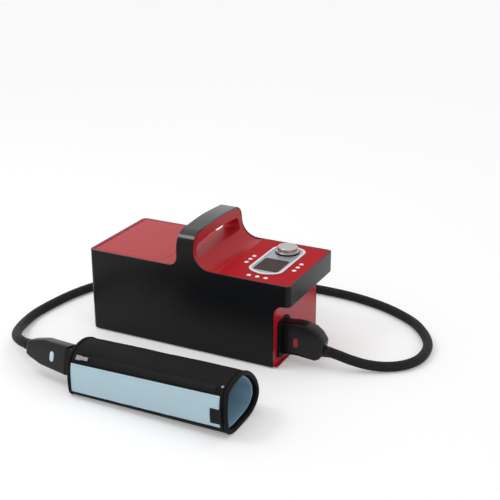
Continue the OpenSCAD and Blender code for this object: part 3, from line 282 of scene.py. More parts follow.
def grip_rubber():
    paint = Paint("Grip rubber", Specular_IOR_Level=0.42)
    cloud = paint.noise(30, 3)
    fine = paint.noise(2600, 2)
    colour = looks().case_looks.grip_colour
    return paint.finish(paint.blend(shade(colour, 0.85), shade(colour, 1.2), cloud),
                        0.15 + 0.06 * cloud + 0.04 * fine, fine, 0.00001)


def foot_rubber():
    return moulded("Foot rubber", (0.02, 0.02, 0.021), 0.75, 1500, 0.2, 0.00008)


def brushed_steel():
    paint = Paint("Brushed steel", Metallic=1.0)
    brush = paint.noise(220, 4, paint.stretched(1, 14, 14))
    return paint.finish(paint.blend((0.52, 0.52, 0.53), (0.66, 0.66, 0.67), brush),
                        0.25 + 0.15 * brush, brush, 0.00002)


def foam():
    paint = Paint("Closed-cell foam", Specular_IOR_Level=0.2)
    cells = paint.node("ShaderNodeTexVoronoi", {}, {"Vector": paint.place, "Scale": 900.0})
    cloud = paint.noise(40, 3)
    return paint.finish(paint.blend((0.62, 0.63, 0.62), (0.76, 0.77, 0.75), cloud),
                        0.82 + 0.1 * cells, cells, 0.0003)


def tub_plastic():
    return moulded("Tub plastic", (0.66, 0.68, 0.7), 0.35, 1400, 0.05, 0.00003)


def grey_plastic():
    return moulded("Grey plastic", (0.11, 0.115, 0.12), 0.45, 1500, 0.12, 0.00005)


def motor_metal():
    paint = Paint("Motor can", Metallic=0.9)
    brush = paint.noise(180, 4, paint.stretched(12, 1, 1))
    return paint.finish(paint.blend((0.32, 0.33, 0.34), (0.45, 0.46, 0.47), brush),
                        0.32 + 0.16 * brush, brush, 0.00002)


def tube_rubber():
    paint = Paint("Water tube", Specular_IOR_Level=0.5)
    cloud = paint.noise(60, 2)
    return paint.finish(paint.blend((0.42, 0.52, 0.58), (0.5, 0.6, 0.66), cloud),
                        0.25 + 0.12 * cloud, cloud, 0.0001)


def air_rubber():
    return moulded("Air tube", (0.025, 0.025, 0.026), 0.5, 1200, 0.15, 0.00006)


def circuit_board():
    paint = Paint("Circuit board")
    lines = (paint.part(0) * 260).wave().highest((paint.part(2) * 260).wave()).over(0.97)
    fleck = paint.noise(320, 1).over(0.62)
    return paint.finish(
        paint.blend((0.012, 0.09, 0.035), (0.03, 0.19, 0.07), (lines + fleck) * 0.5),
        0.4 - 0.12 * lines, lines, 0.00003)


def bezel_silver():
    paint = Paint("Bezel silver", Metallic=0.6, Specular_IOR_Level=0.4)
    rim = paint.part(2).step(163.9 * MM, 164.4 * MM)
    brush = paint.noise(300, 3, paint.stretched(1, 0.15, 1))
    tint = looks().control_looks.bezel_colour
    field = paint.blend(shade(tint, 0.5), shade(tint, 0.72), brush)
    return paint.finish(paint.blend(field, (0.72, 0.71, 0.73), rim),
                        0.3 + 0.1 * brush, brush, 0.00002)


def display_glass():
    paint = Paint("Display", Specular_IOR_Level=0.04)
    cell = (paint.part(0) * 1700).wave().highest((paint.part(1) * 1700).wave())
    cloud = paint.noise(55, 3)
    return paint.finish(
        paint.blend(paint.blend((0.04, 0.02, 0.022), (0.068, 0.036, 0.036), cloud),
                    (0.022, 0.014, 0.018), cell.over(0.93) * 0.6),
        0.16 + 0.05 * cloud)


def turned_silver():
    paint = Paint("Knob silver", Metallic=1.0)
    x = paint.part(0) - KNOB_AT.x
    y = paint.part(1) - KNOB_AT.y
    radius = (x * x + y * y) ** 0.5
    rings = (radius * 2400).wave() * 0.5 + 0.5
    grain = paint.noise(700, 2)
    tint = looks().control_looks.knob_colour
    return paint.finish(paint.blend(shade(tint, 0.88), shade(tint, 1.08), rings * grain),
                        0.2 + 0.12 * rings, rings, 0.00001)


def key_white():
    return moulded("Key white", (0.88, 0.88, 0.87), 0.35, 2200, 0.02, 0.00002)


def collar_black():
    return moulded("Collar black", (0.012, 0.012, 0.013), 0.3, 1800, 0.1)


def port_black():
    return moulded("Port black", (0.006, 0.0065, 0.007), 0.4, 1500, 0.12, 0.00001,
                   Specular_IOR_Level=0.12)


def connector_black():
    return moulded("Connector black", looks().hose_looks.connector_colour, 0.3, 1500, 0.2, 0.00001,
                   Specular_IOR_Level=0.25)


def release_red():
    return moulded("Release red", (0.3, 0.01, 0.02), 0.3, 2000, 0.06, 0.00002)


def release_pale():
    return moulded("Release pale", (0.6, 0.73, 0.82), 0.35, 2000, 0.04, 0.00002)


def braid():
    """Two sets of strands that wind round the hose and pass over each other in turn."""
    paint = Paint("Hose braid", Specular_IOR_Level=0.15)
    strands = looks().hose_looks.strands
    around = paint.part(0, paint.uv) * strands
    along = paint.part(1, paint.uv) * (strands / (math.pi * 0.018))
    one = ((around + along) * 0.5).wave().size()
    two = ((around - along) * 0.5).wave().size()
    turn = ((around * 0.5).wave() * (along * 0.5).wave()).over(0)
    relief = one * turn + two * (1 - turn)
    fleck = paint.noise(1300, 1).step(0.56, 0.68) * relief
    colour = looks().hose_looks.braid_colour
    # Painted shade: each strand is darker towards its edges, down in the grooves between strands.
    groove_shaded_strand = paint.blend(shade(colour, 0.45), colour, relief)
    return paint.finish(paint.blend(groove_shaded_strand, (0.09, 0.095, 0.1), fleck * 0.7),
                        0.5 + 0.25 * (1 - relief), relief, 0.0005)


def weave(name, light, dark, pitch, **fixed):
    """Plain weave on the piece's own UV map, which is in metres. Its colour is painted darker
    where the threads dip under each other, which is painted shade, and is also clouded at random.
    """
    paint = Paint(name, **fixed)
    across = paint.part(0, paint.uv) / pitch
    along = paint.part(1, paint.uv) / pitch
    warp = (across * 0.5).wave().size()
    weft = (along * 0.5).wave().size()
    turn = ((across * 0.5).wave() * (along * 0.5).wave()).over(0)
    relief = warp * turn + weft * (1 - turn)
    cloud = paint.noise(26, 4)
    # Painted shade: the darker tone fills the dips between threads by their relief; the clouding
    # part is random tone.
    return paint, relief, cloud, paint.blend(dark, light, relief * 0.6 + cloud * 0.4)


def nylon_black():
    paint, relief, cloud, colour = weave(
        "Cover nylon", (0.0075, 0.0072, 0.008), (0.0035, 0.0034, 0.004), 0.0011,
        Specular_IOR_Level=0.12)
    return paint.finish(colour, 0.5 + 0.2 * cloud, relief + 2 * cloud, 0.00022)


def lining_blue():
    tone = looks().wrap_looks.lining_colour
    paint, relief, cloud, colour = weave(
        "Lining cloth", shade(tone, 1.12), shade(tone, 0.82), 0.0012, Specular_IOR_Level=0.3)
    return paint.finish(colour, 0.45 + 0.2 * cloud, relief + 3 * cloud, 0.00025)


def panel_blue():
    tone = looks().wrap_looks.panel_colour
    paint, relief, cloud, colour = weave(
        "Panel cloth", shade(tone, 1.05), shade(tone, 0.86), 0.0012, Specular_IOR_Level=0.3)
    crumple = paint.noise(70, 5, paint.stretched(0.5, 1, 1), 0.62)
    return paint.finish(colour, 0.42 + 0.2 * cloud, relief * 0.25 + 2.6 * crumple, 0.0006)


def binding_black():
    paint = Paint("Binding tape", Specular_IOR_Level=0.12)
    ribs = (paint.part(1, paint.uv) * 620 + paint.part(0, paint.uv) * 3).wave() * 0.5 + 0.5
    cloud = paint.noise(80, 3)
    # Painted shade: the tape is darker in the grooves between its ribs; the clouding is random
    # tone.
    return paint.finish(paint.blend((0.004, 0.004, 0.0045), (0.012, 0.012, 0.013), ribs * cloud),
                        0.5 + 0.2 * cloud, ribs, 0.0002)


def tape_black():
    paint, relief, cloud, colour = weave(
        "Zip tape", (0.012, 0.011, 0.0125), (0.005, 0.005, 0.0055), 0.0009,
        Specular_IOR_Level=0.15)
    return paint.finish(colour, 0.5 + 0.15 * cloud, relief, 0.0002)


def slider_metal():
    paint = Paint("Slider metal", Metallic=0.9)
    cloud = paint.noise(260, 3)
    return paint.finish(paint.blend((0.2, 0.2, 0.21), (0.38, 0.38, 0.39), cloud),
                        0.3 + 0.2 * cloud, cloud, 0.00004)


def thread_pale():
    return moulded("Pale thread", (0.5, 0.62, 0.68), 0.6, 3000, 0.1, 0.00004)


def thread_black():
    return moulded("Black thread", (0.011, 0.011, 0.012), 0.5, 3000, 0.1, 0.00004,
                   Specular_IOR_Level=0.3)


def finish(make):
    """The material that a finish's function makes, made once."""
    key = make.__name__
    if key not in finish.made:
        finish.made[key] = make()
    return finish.made[key].material


finish.made = {}


# ---------------------------------------------------------------- shapes


def settle(name, bm, paint, body, nodes=(), edge=0.0, angle=35.0):
    """Makes an object of a bmesh, smooth between its sharp edges, and lets it ride on its body."""
    for face in bm.faces:
        face.smooth = True
    for line in bm.edges:
        line.smooth = len(line.link_faces) == 2 and line.calc_face_angle() < math.radians(angle)
    mesh = bpy.data.meshes.new(name)
    bm.to_mesh(mesh)
    bm.free()
    piece = bpy.data.objects.new(name, mesh)
    bpy.context.scene.collection.objects.link(piece)
    mesh.materials.append(finish(paint))
    if edge:
        rounded = piece.modifiers.new("Edge", "BEVEL")
        rounded.width = edge * MM
        rounded.segments = 2
        rounded.limit_method = "ANGLE"
        rounded.angle_limit = math.radians(angle)
        rounded.harden_normals = True
    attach(piece, body)
    if nodes:
        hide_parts(*nodes)
    return piece


def dress(node, paint, edge=0.4, angle=35.0):
    """Stands a merged, smoothly shaded copy of a CAD node in the node's place."""
    bm = bmesh.new()
    bm.from_mesh(NODES[node].data)
    bmesh.ops.remove_doubles(bm, verts=bm.verts, dist=1e-6)
    bmesh.ops.dissolve_limit(
        bm, angle_limit=math.radians(0.5), use_dissolve_boundaries=False,
        verts=bm.verts, edges=bm.edges)
    return settle(
        node + "_finish", bm, paint, NODES[node]["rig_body"], [node], edge, angle)


def turned(profile, steps=64):
    """A turned piece: a profile of (radius, height) in millimetres, spun round Z."""
    bm = bmesh.new()
    points = [bm.verts.new((r * MM, 0, z * MM)) for r, z in profile]
    lines = [bm.edges.new(pair) for pair in zip(points, points[1:])]
    bmesh.ops.spin(
        bm, geom=points + lines, axis=(0, 0, 1), cent=(0, 0, 0), angle=2 * math.pi,
        steps=steps, use_merge=True)
    bmesh.ops.remove_doubles(bm, verts=bm.verts, dist=1e-6)
    bmesh.ops.recalc_face_normals(bm, faces=bm.faces)
    return bm


def moved(bm, matrix):
    bmesh.ops.transform(bm, matrix=matrix, verts=bm.verts)
    return bm


def smoothed(points, fine, closed):
    """A smooth curve through points, with fine steps from each to the next."""
    points = [Vector(p) for p in points]
    count = len(points)
    curve = []
    for i in range(count if closed else count - 1):
        if closed:
            a, b, c, d = (points[(i + k) % count] for k in (-1, 0, 1, 2))
        else:
            b, c = points[i], points[i + 1]
            a = points[i - 1] if i else 2 * b - c
            d = points[i + 2] if i + 2 < count else 2 * c - b
        for k in range(fine):
            t = k / fine
            curve.append(
                b + t * (c - a) / 2 + t * t * (a - 2.5 * b + 2 * c - d / 2)
                + t ** 3 * (1.5 * (b - c) + (d - a) / 2))
    if not closed:
        curve.append(points[-1])
    return curve


def surface(rows, along_closed=False, ends=False):
    """Quads between closed rows of points, with a UV map in metres; ends closes both ends."""
    bm = bmesh.new()
    layer = bm.loops.layers.uv.new("UVMap")
    made = [[bm.verts.new(p) for p in row] for row in rows]
    columns, count = len(rows[0]), len(rows)
    middle = rows[count // 2]
    across = [0.0]
    for j in range(columns):
        across.append(across[-1] + (middle[(j + 1) % columns] - middle[j]).length)
    along = [0.0]
    for i in range(count if along_closed else count - 1):
        along.append(along[-1] + (rows[(i + 1) % count][0] - rows[i][0]).length)
    for i in range(len(along) - 1):
        for j in range(columns):
            corners = ((i, j), (i + 1, j), (i + 1, j + 1), (i, j + 1))
            face = bm.faces.new([made[a % count][b % columns] for a, b in corners])
            for loop, (a, b) in zip(face.loops, corners):
                loop[layer].uv = (across[b], along[a])
    if ends:
        for row in (made[0], made[-1]):
            bm.faces.new(row)
    bmesh.ops.recalc_face_normals(bm, faces=bm.faces)
    return bm


def tube_rows(path, radius, sides, up, closed=False):
    """Rings of points round a path, square to it."""
    rows, count = [], len(path)
    for i, p in enumerate(path):
        before = path[i - 1] if i or closed else p
        after = path[(i + 1) % count] if i + 1 < count or closed else p
        side = (after - before).cross(Vector(up)).normalized()
        top = side.cross(after - before).normalized()
        rows.append([
            p + radius * (math.cos(t) * side + math.sin(t) * top)
            for t in (2 * math.pi * k / sides for k in range(sides))])
    return rows


def section(x, out, fine=FINE):
    """The wrap's section at x, moved outwards by out: points in metres."""
    share = (x - WRAP_LEFT) / (WRAP_RIGHT - WRAP_LEFT)
    corners = [Vector(a).lerp(Vector(b), share) for a, b in zip(SECTION_LEFT, SECTION_RIGHT)]
    loop = smoothed(corners, fine, True)
    count = len(loop)
    points = []
    for i, p in enumerate(loop):
        along = (loop[(i + 1) % count] - loop[i - 1]).normalized()
        points.append(Vector((x, p.x - out * along.y, p.y + out * along.x)) * MM)
    return points


def stretch(start, stop, count):
    return [start + (stop - start) * i / count for i in range(count + 1)]


def on_floor(bm, lowest=FLOOR_GAP):
    for v in bm.verts:
        v.co.z = max(v.co.z, lowest)
    return bm


def inflate(piece, held, cap):
    """Blows a closed piece up a little with Cloth and keeps the result within cap."""
    group = piece.vertex_groups.new(name="held")
    for i, weight in enumerate(held):
        if weight:
            group.add([i], weight, "REPLACE")
    cloth = piece.modifiers.new("Cloth", "CLOTH")
    rules = cloth.settings
    rules.quality = 5
    rules.mass = 0.3
    rules.tension_stiffness = rules.compression_stiffness = 12
    rules.shear_stiffness = 4
    rules.bending_stiffness = 0.4
    rules.use_pressure = True
    rules.uniform_pressure_force = 4
    rules.vertex_group_mass = "held"
    rules.effector_weights.gravity = 0
    cloth.point_cache.frame_end = CLOTH_FRAMES
    scene = bpy.context.scene
    for step in range(1, CLOTH_FRAMES + 1):
        scene.frame_set(step)
    blown = piece.evaluated_get(bpy.context.evaluated_depsgraph_get())
    after = [v.co.copy() for v in blown.data.vertices]
    piece.modifiers.remove(cloth)
    scene.frame_set(1)
    for v, place in zip(piece.data.vertices, after):
        shift = place - v.co
        if shift.length > cap:
            shift = shift.normalized() * cap
        v.co += shift


def soften(piece):
    finer = piece.modifiers.new("Soft", "SUBSURF")
    finer.levels = finer.render_levels = 1
    return piece


def strip(first, last, low, high, left, right, count, relief, fine=2 * FINE):
    """A thin piece that lies on the wrap between two places of its section."""
    rows = []
    for x in stretch(left, right, count):
        under = section(x, low, fine)[first:last + 1]
        over = section(x, high, fine)[first:last + 1]
        row = []
        for k, (a, b) in enumerate(zip(under, over)):
            row.append(b + (b - a).normalized() * relief(x, k / (last - first)) * MM)
        rows.append(row + under[::-1])
    return surface(rows, ends=True)


def beads(places, size, edge=0.2):
    """Small rounded blocks of one size, one at each matrix."""
    bm = bmesh.new()
    for place in places:
        block = bmesh.ops.create_cube(
            bm, size=MM, matrix=place @ Matrix.Diagonal((*size, 1)))["verts"]
        lines = list({line for v in block for line in v.link_edges})
        bmesh.ops.bevel(
            bm, geom=lines, offset=edge * MM, segments=1, profile=0.5, affect="EDGES", material=-1)
    return bm


def lie(point, along, out):
    """A matrix at a point with X along a direction and Z outwards."""
    x = along.normalized()
    y = out.cross(x).normalized()
    z = x.cross(y)
    return Matrix((
        (x.x, y.x, z.x, point.x), (x.y, y.y, z.y, point.y),
        (x.z, y.z, z.z, point.z), (0, 0, 0, 1)))


# ---------------------------------------------------------------- settings


def tone(label, text, default):
    return FloatVectorProperty(
        name=label, description=text, subtype="COLOR", size=3, min=0, max=1, default=default)


class CaseLooks(bpy.types.PropertyGroup):
    shell_colour: tone("Shell", "Colour of the side shells", (0.0055, 0.006, 0.0068))
    top_colour: tone(
        "Top", "Colour of the lid, the handle's core and the deck", (0.44, 0.01, 0.018))
    grip_colour: tone("Grip", "Colour of the rubber on the handle", (0.012, 0.0135, 0.0145))
    edge: FloatProperty(
        name="Edge", description="Width of the rounding on the case's edges in millimetres",
        default=0.6, min=0.1, max=1.5)


class ControlLooks(bpy.types.PropertyGroup):
    bezel_colour: tone("Bezel", "Colour of the display's bezel", (0.6, 0.63, 0.7))
    knob_colour: tone("Knob", "Colour of the knob", (0.5, 0.48, 0.455))


class HoseLooks(bpy.types.PropertyGroup):
    diameter: FloatProperty(
        name="Diameter", description="Diameter of the braided hose",
        default=0.018, min=0.016, max=0.02, subtype="DISTANCE", unit="LENGTH")
    strands: IntProperty(
        name="Strands", description="Strands in the braid round the hose",
        default=20, min=8, max=40)
    braid_colour: tone("Braid", "Colour of the hose's braid", (0.0095, 0.01, 0.0105))
    connector_colour: tone("Connectors", "Colour of both connectors", (0.0065, 0.007, 0.008))


class WrapLooks(bpy.types.PropertyGroup):
    panel_colour: tone("Panel", "Colour of the light front panel", (0.52, 0.7, 0.79))
    lining_colour: tone("Lining", "Colour of the lining", (0.28, 0.46, 0.59))
    puff: FloatProperty(
        name="Puff", description="Most that the padding swells", default=0.0026, min=0, max=0.005,
        subtype="DISTANCE", unit="LENGTH")
    fold: FloatProperty(
        name="Fold", description="Depth of the lining's folds in millimetres",
        default=2.4, min=0, max=4)


class StageLooks(bpy.types.PropertyGroup):
    lens: FloatProperty(
        name="Lens", description="Focal length of the camera in millimetres",
        default=74.7, min=20, max=200)
    sun: FloatProperty(
        name="Sun", description="Strength of the soft light from above", default=0.2, min=0, max=5)
    sky: FloatProperty(
        name="Sky", description="Strength of the light from all sides", default=0.77, min=0, max=2)
    box: FloatProperty(
        name="Softbox", description="Brightness of the softbox on the left",
        default=7, min=0, max=20)


# ---------------------------------------------------------------- pieces


class THERAPY_OT_stage(bpy.types.Operator):
    """Sets up the camera, the floor and the light"""

    bl_idname = "therapy.stage"
    bl_label = "Stage"

    def execute(self, context):
        scene = context.scene
        looks = scene.stage_looks
        lens = bpy.data.cameras.new("Camera")
        lens.lens = looks.lens
        camera = bpy.data.objects.new("Camera", lens)
        camera.location = (0.865, -1.5873, 0.8699)
        target = Vector((0.066, 0.03256, 0.16254))
        camera.rotation_euler = (target - camera.location).to_track_quat("-Z", "Y").to_euler()
        scene.collection.objects.link(camera)
        scene.camera = camera

        lamp = bpy.data.lights.new("Sun", "SUN")
        lamp.energy = looks.sun
        lamp.angle = math.radians(55)
        sun = bpy.data.objects.new("Sun", lamp)
        sun.rotation_euler = Vector((0.12, -0.22, -1)).to_track_quat("-Z", "Y").to_euler()
        scene.collection.objects.link(sun)

        panel = bpy.data.lights.new("Softbox", "AREA")
        panel.size = 0.42
        panel.energy = looks.box * math.pi * panel.size ** 2
        softbox = bpy.data.objects.new("Softbox", panel)
        softbox.location = (-0.7, -0.56, 1.43)
        aim = Vector((0, 0, 0.2)) - softbox.location
        softbox.rotation_euler = aim.to_track_quat("-Z", "Y").to_euler()
        scene.collection.objects.link(softbox)

        world = bpy.data.worlds.new("Studio")
        scene.world = world
        world.use_nodes = True
        tree = world.node_tree
        tree.nodes.clear()
        path = tree.nodes.new("ShaderNodeLightPath")
        seen = tree.nodes.new("ShaderNodeMath")
        seen.operation = "MAXIMUM"
        tree.links.new(path.outputs["Is Camera Ray"], seen.inputs[0])
        tree.links.new(path.outputs["Is Glossy Ray"], seen.inputs[1])
        clear = tree.nodes.new("ShaderNodeMath")
        clear.operation = "MAXIMUM"
        tree.links.new(seen.outputs[0], clear.inputs[0])
        tree.links.new(path.outputs["Is Transmission Ray"], clear.inputs[1])
        level = tree.nodes.new("ShaderNodeMapRange")
        level.inputs["To Min"].default_value = looks.sky
        level.inputs["To Max"].default_value = 1
        tree.links.new(clear.outputs[0], level.inputs["Value"])
        back = tree.nodes.new("ShaderNodeBackground")
        back.inputs["Color"].default_value = (1, 1, 1, 1)
        tree.links.new(level.outputs[0], back.inputs["Strength"])
        out = tree.nodes.new("ShaderNodeOutputWorld")
        tree.links.new(back.outputs[0], out.inputs["Surface"])

        bm = bmesh.new()
        bmesh.ops.create_grid(bm, x_segments=1, y_segments=1, size=15)
        mesh = bpy.data.meshes.new("Floor")
        bm.to_mesh(mesh)
        bm.free()
        floor = bpy.data.objects.new("Floor", mesh)
        scene.collection.objects.link(floor)
        paint = Paint("Floor", Roughness=0.9, Specular_IOR_Level=0.1, Emission_Color=(1, 1, 1, 1))
        paint.finish(paint.blend((0.88, 0.88, 0.88), (0.9, 0.9, 0.9), paint.noise(2)))
        mesh.materials.append(paint.material)
        seen = [paint.node("ShaderNodeLightPath", {}, {}, ray) for ray in (
            "Is Camera Ray", "Is Glossy Ray", "Is Transmission Ray")]
        paint.feed(paint.shader.inputs["Emission Strength"],
                   seen[0].highest(seen[1]).highest(seen[2]) * 0.2)
        scene.view_settings.view_transform = "Standard"
        return {"FINISHED"}


class THERAPY_OT_hose(bpy.types.Operator):
    """Builds both connectors with their buttons and boots, and the braided hose between them"""

    bl_idname = "therapy.hose"
    bl_label = "Hose"

    def execute(self, context):
        looks = context.scene.hose_looks
        radius = looks.diameter / 2
        path = [p * MM for p in smoothed(HOSE_ROUTE, 8, False)]
        bm = surface(tube_rows(path, radius, 24, (0, 0, 1)), ends=True)
        layer = bm.loops.layers.uv.active
        for face in bm.faces:
            for loop in face.loops:
                loop[layer].uv.x /= 2 * math.pi * radius
        hose = settle("hose_braid", bm, braid, "unit", ["hose"], angle=60)
        with_pieces = [
            dress("unit_connector", connector_black, 0.4, 40),
            dress("unit_release", release_red, 0.3),
            dress("wrap_connector", connector_black, 0.4, 40),
            dress("wrap_release", release_pale, 0.3),
        ]
        bore, start, pitch = 9.05, -13, 4.2
        boot = [(bore, start), (10.6, start)]
        for k in range(5):
            low = start + 1 + pitch * k
            wide = 11.4 - 0.35 * k
            boot += [(wide - 0.9, low), (wide, low + 0.7), (wide, low + 2.4),
                     (wide - 0.9, low + 3.1)]
        boot += [(9.4, 9.5), (bore, 9.5), (bore, start)]
        for name, frame_at, tail in (
                ("unit_boot", UNIT_PLUG, (0.083, 0, -0.015)),
                ("wrap_boot", WRAP_PLUG, (0.10112, 0, 0))):
            bm = turned(boot, 40)
            place = frame_at @ Matrix.Translation(tail) @ Matrix.Rotation(math.pi / 2, 4, "Y")
            with_pieces.append(settle(
                name, moved(bm, place), connector_black, "unit", angle=40))
        length = sum((b - a).length for a, b in zip(path, path[1:]))
        return {"FINISHED"}


class THERAPY_OT_case(bpy.types.Operator):
    """Finishes the side shells, the tray, the foot ring and the screws"""

    bl_idname = "therapy.case"
    bl_label = "Case"

    def execute(self, context):
        edge = context.scene.case_looks.edge
        for node in ("front_shell", "rear_shell"):
            dress(node, shell_black, edge)
        dress("base_tray", port_black, 0.4)
        dress("foot_ring", foot_rubber, 0.8)
        dress("base_screws", brushed_steel, 0.2)
        return {"FINISHED"}


class THERAPY_OT_top(bpy.types.Operator):
    """Finishes the red lid and its frame, the handle's core, the deck and the rubber grip"""

    bl_idname = "therapy.top"
    bl_label = "Top and handle"

    def execute(self, context):
        edge = context.scene.case_looks.edge
        for node in ("lid", "lid_frame"):
            dress(node, frame_red, edge)
        dress("handle_core", core_red, edge)
        dress("control_deck", deck_red, edge)
        dress("handle_grip", grip_rubber, 0.8)
        return {"FINISHED"}


class THERAPY_OT_reservoir(bpy.types.Operator):
    """Finishes the ice reservoir under the lid"""

    bl_idname = "therapy.reservoir"
    bl_label = "Reservoir"

    def execute(self, context):
        for node, paint, edge in (
                ("tub_jacket", foam, 0.5), ("reservoir_tub", tub_plastic, 0.6),
                ("strainer", grey_plastic, 0.3), ("hinge_pins", brushed_steel, 0.2),
                ("lid_plug", foam, 0.8), ("lid_seal", foot_rubber, 0.3)):
            dress(node, paint, edge)
        return {"FINISHED"}


class THERAPY_OT_controls(bpy.types.Operator):
    """Finishes the display and its bezel, turns the knob and rounds the keys"""

    bl_idname = "therapy.controls"
    bl_label = "Controls"

    def execute(self, context):
        dress("display_bezel", bezel_silver, 0.7)
        dress("display_lens", display_glass, 0.4)
        dress("knob_collar", collar_black, 0.2)
        dress("knob_plunger", brushed_steel, 0.2)
        dress("encoder", grey_plastic, 0.2)
        dress("display_board", circuit_board, 0)
        knob = turned([
            (0, 0), (21, 0), (21.5, 0.5), (21.5, 1.5), (21, 2.1), (19.9, 2.4), (18.7, 2.5),
            (18.4, 2.9), (18.5, 3.6), (19, 4.1), (19, 8.1), (18.85, 9), (18.4, 9.8), (17.7, 10.35),
            (16.9, 10.6), (14.6, 10.6), (14.1, 10.35), (13.7, 10.1), (0, 10.05)], 96)
        settle("knob_turned", moved(knob, Matrix.Translation(KNOB_AT)), turned_silver,
               "knob_body", ["knob"], 0.15, 28)
        for n in range(1, 10):
            dress("key_%d" % n, key_white, 0.25, 28)
        return {"FINISHED"}


class THERAPY_OT_port(bpy.types.Operator):
    """Finishes the hose port, its bezel and the power inlet"""

    bl_idname = "therapy.port"
    bl_label = "Port"

    def execute(self, context):
        dress("hose_port", port_black, 0.3)
        dress("port_bezel", port_black, 0.7)
        dress("power_inlet", port_black, 0.3)
        dress("wrap_port", port_black, 0.4)
        return {"FINISHED"}


class THERAPY_OT_works(bpy.types.Operator):
    """Finishes the pump, the compressor, the valves, the tubes and the boards in the case"""

    bl_idname = "therapy.works"
    bl_label = "Inner works"

    def execute(self, context):
        for node, paint in (
                ("pump_housing", grey_plastic), ("pump_motor", motor_metal),
                ("pump_rotor", brushed_steel), ("compressor_housing", grey_plastic),
                ("compressor_motor", motor_metal), ("compressor_crank", brushed_steel),
                ("valve_block", grey_plastic), ("suction_tube", tube_rubber),
                ("delivery_tube", tube_rubber), ("return_tube", tube_rubber),
                ("air_tube", air_rubber), ("main_board", circuit_board)):
            dress(node, paint, 0)
        return {"FINISHED"}


class THERAPY_OT_cover(bpy.types.Operator):
    """Builds the wrap's padded black cover"""

    bl_idname = "therapy.cover"
    bl_label = "Wrap cover"

    def execute(self, context):
        turn = [(0.7, -0.15), (0.25, -0.8), (0, -2), (0, -4), (0.25, -5.2), (0.7, -5.85)]
        profile = [(x, 0) for x in stretch(WRAP_LEFT + 1.5, WRAP_RIGHT - 1.5, 60)]
        profile += [(WRAP_RIGHT - a, b) for a, b in turn]
        profile += [(x, -WRAP_T) for x in stretch(WRAP_RIGHT - 1.5, WRAP_LEFT + 1.5, 30)]
        profile += [(WRAP_LEFT + a, b) for a, b in reversed(turn)]
        rows = [section(x, out) for x, out in profile]
        bm = on_floor(surface(rows, along_closed=True))
        cover = settle("wrap_cover", bm, nylon_black, "unit", ["wrap_sleeve"], angle=75)
        held, free = [], []
        for x, out in profile:
            for j in range(COLUMNS):
                near = min(x - WRAP_LEFT, WRAP_RIGHT - x)
                away = max(0, min(1, (near - 4) / 14))
                around = (max(0, min(1, (j - LOOSE_FROM) / LOOSE_FADE))
                          * max(0, min(1, (LOOSE_TO - j) / LOOSE_FADE)))
                loose = away * around if out == 0 else 0
                held.append(1 - loose)
                free.append(loose)
        inflate(cover, held, context.scene.wrap_looks.puff)
        for v, loose in zip(cover.data.vertices, free):
            if loose:
                p = v.co
                crease = noise.noise(Vector((p.x * 22, p.y * 55, p.z * 55)))
                ripple = noise.noise(Vector((p.x * 70, p.y * 120, p.z * 120)))
                drop = loose * (0.0009 * crease + 0.0003 * ripple)
                v.co.z += drop
                v.co.y += 0.4 * drop
        for v in cover.data.vertices:
            v.co.z = max(v.co.z, FLOOR_GAP)
        soften(cover)
        return {"FINISHED"}


class THERAPY_OT_lining(bpy.types.Operator):
    """Builds the lining, which lies in soft folds inside the cover"""

    bl_idname = "therapy.lining"
    bl_label = "Wrap lining"

    def execute(self, context):
        depth = context.scene.wrap_looks.fold
        outer = -WRAP_T - LAYER_GAP
        inner = outer - 2.5
        left, right = WRAP_LEFT + 4, WRAP_RIGHT - 1
        profile = [(x, outer) for x in stretch(left + 0.6, right - 0.6, 60)]
        profile += [(right, outer - 0.6), (right, inner + 0.6)]
        profile += [(x, inner) for x in stretch(right - 0.6, left + 0.6, 60)]
        profile += [(left, inner + 0.6), (left, outer - 0.6)]
        rows = []
        for x, out in profile:
            fade = max(0, min(1, (x + 20) / 60))
            row = []
            here = section(x, out)
            within = section(x, out - 1)
            for j, (p, q) in enumerate(zip(here, within)):
                angle = 2 * math.pi * j / COLUMNS
                fold = noise.noise(Vector((
                    x * 0.006, 1.6 * math.cos(angle), 1.6 * math.sin(angle) + 4)))
                pleat = noise.noise(Vector((
                    x * 0.012 + 9, 4.2 * math.cos(angle), 4.2 * math.sin(angle))))
                inwards = max(0, 0.25 + 0.8 * fold) * depth + max(0, pleat) * 0.4 * depth
                row.append(p + (q - p) * inwards * fade)
            rows.append(row)
        bm = on_floor(surface(rows, along_closed=True), 0.0065)
        lining = settle("wrap_inner", bm, lining_blue, "unit", ["wrap_lining"], angle=75)
        soften(lining)
        return {"FINISHED"}


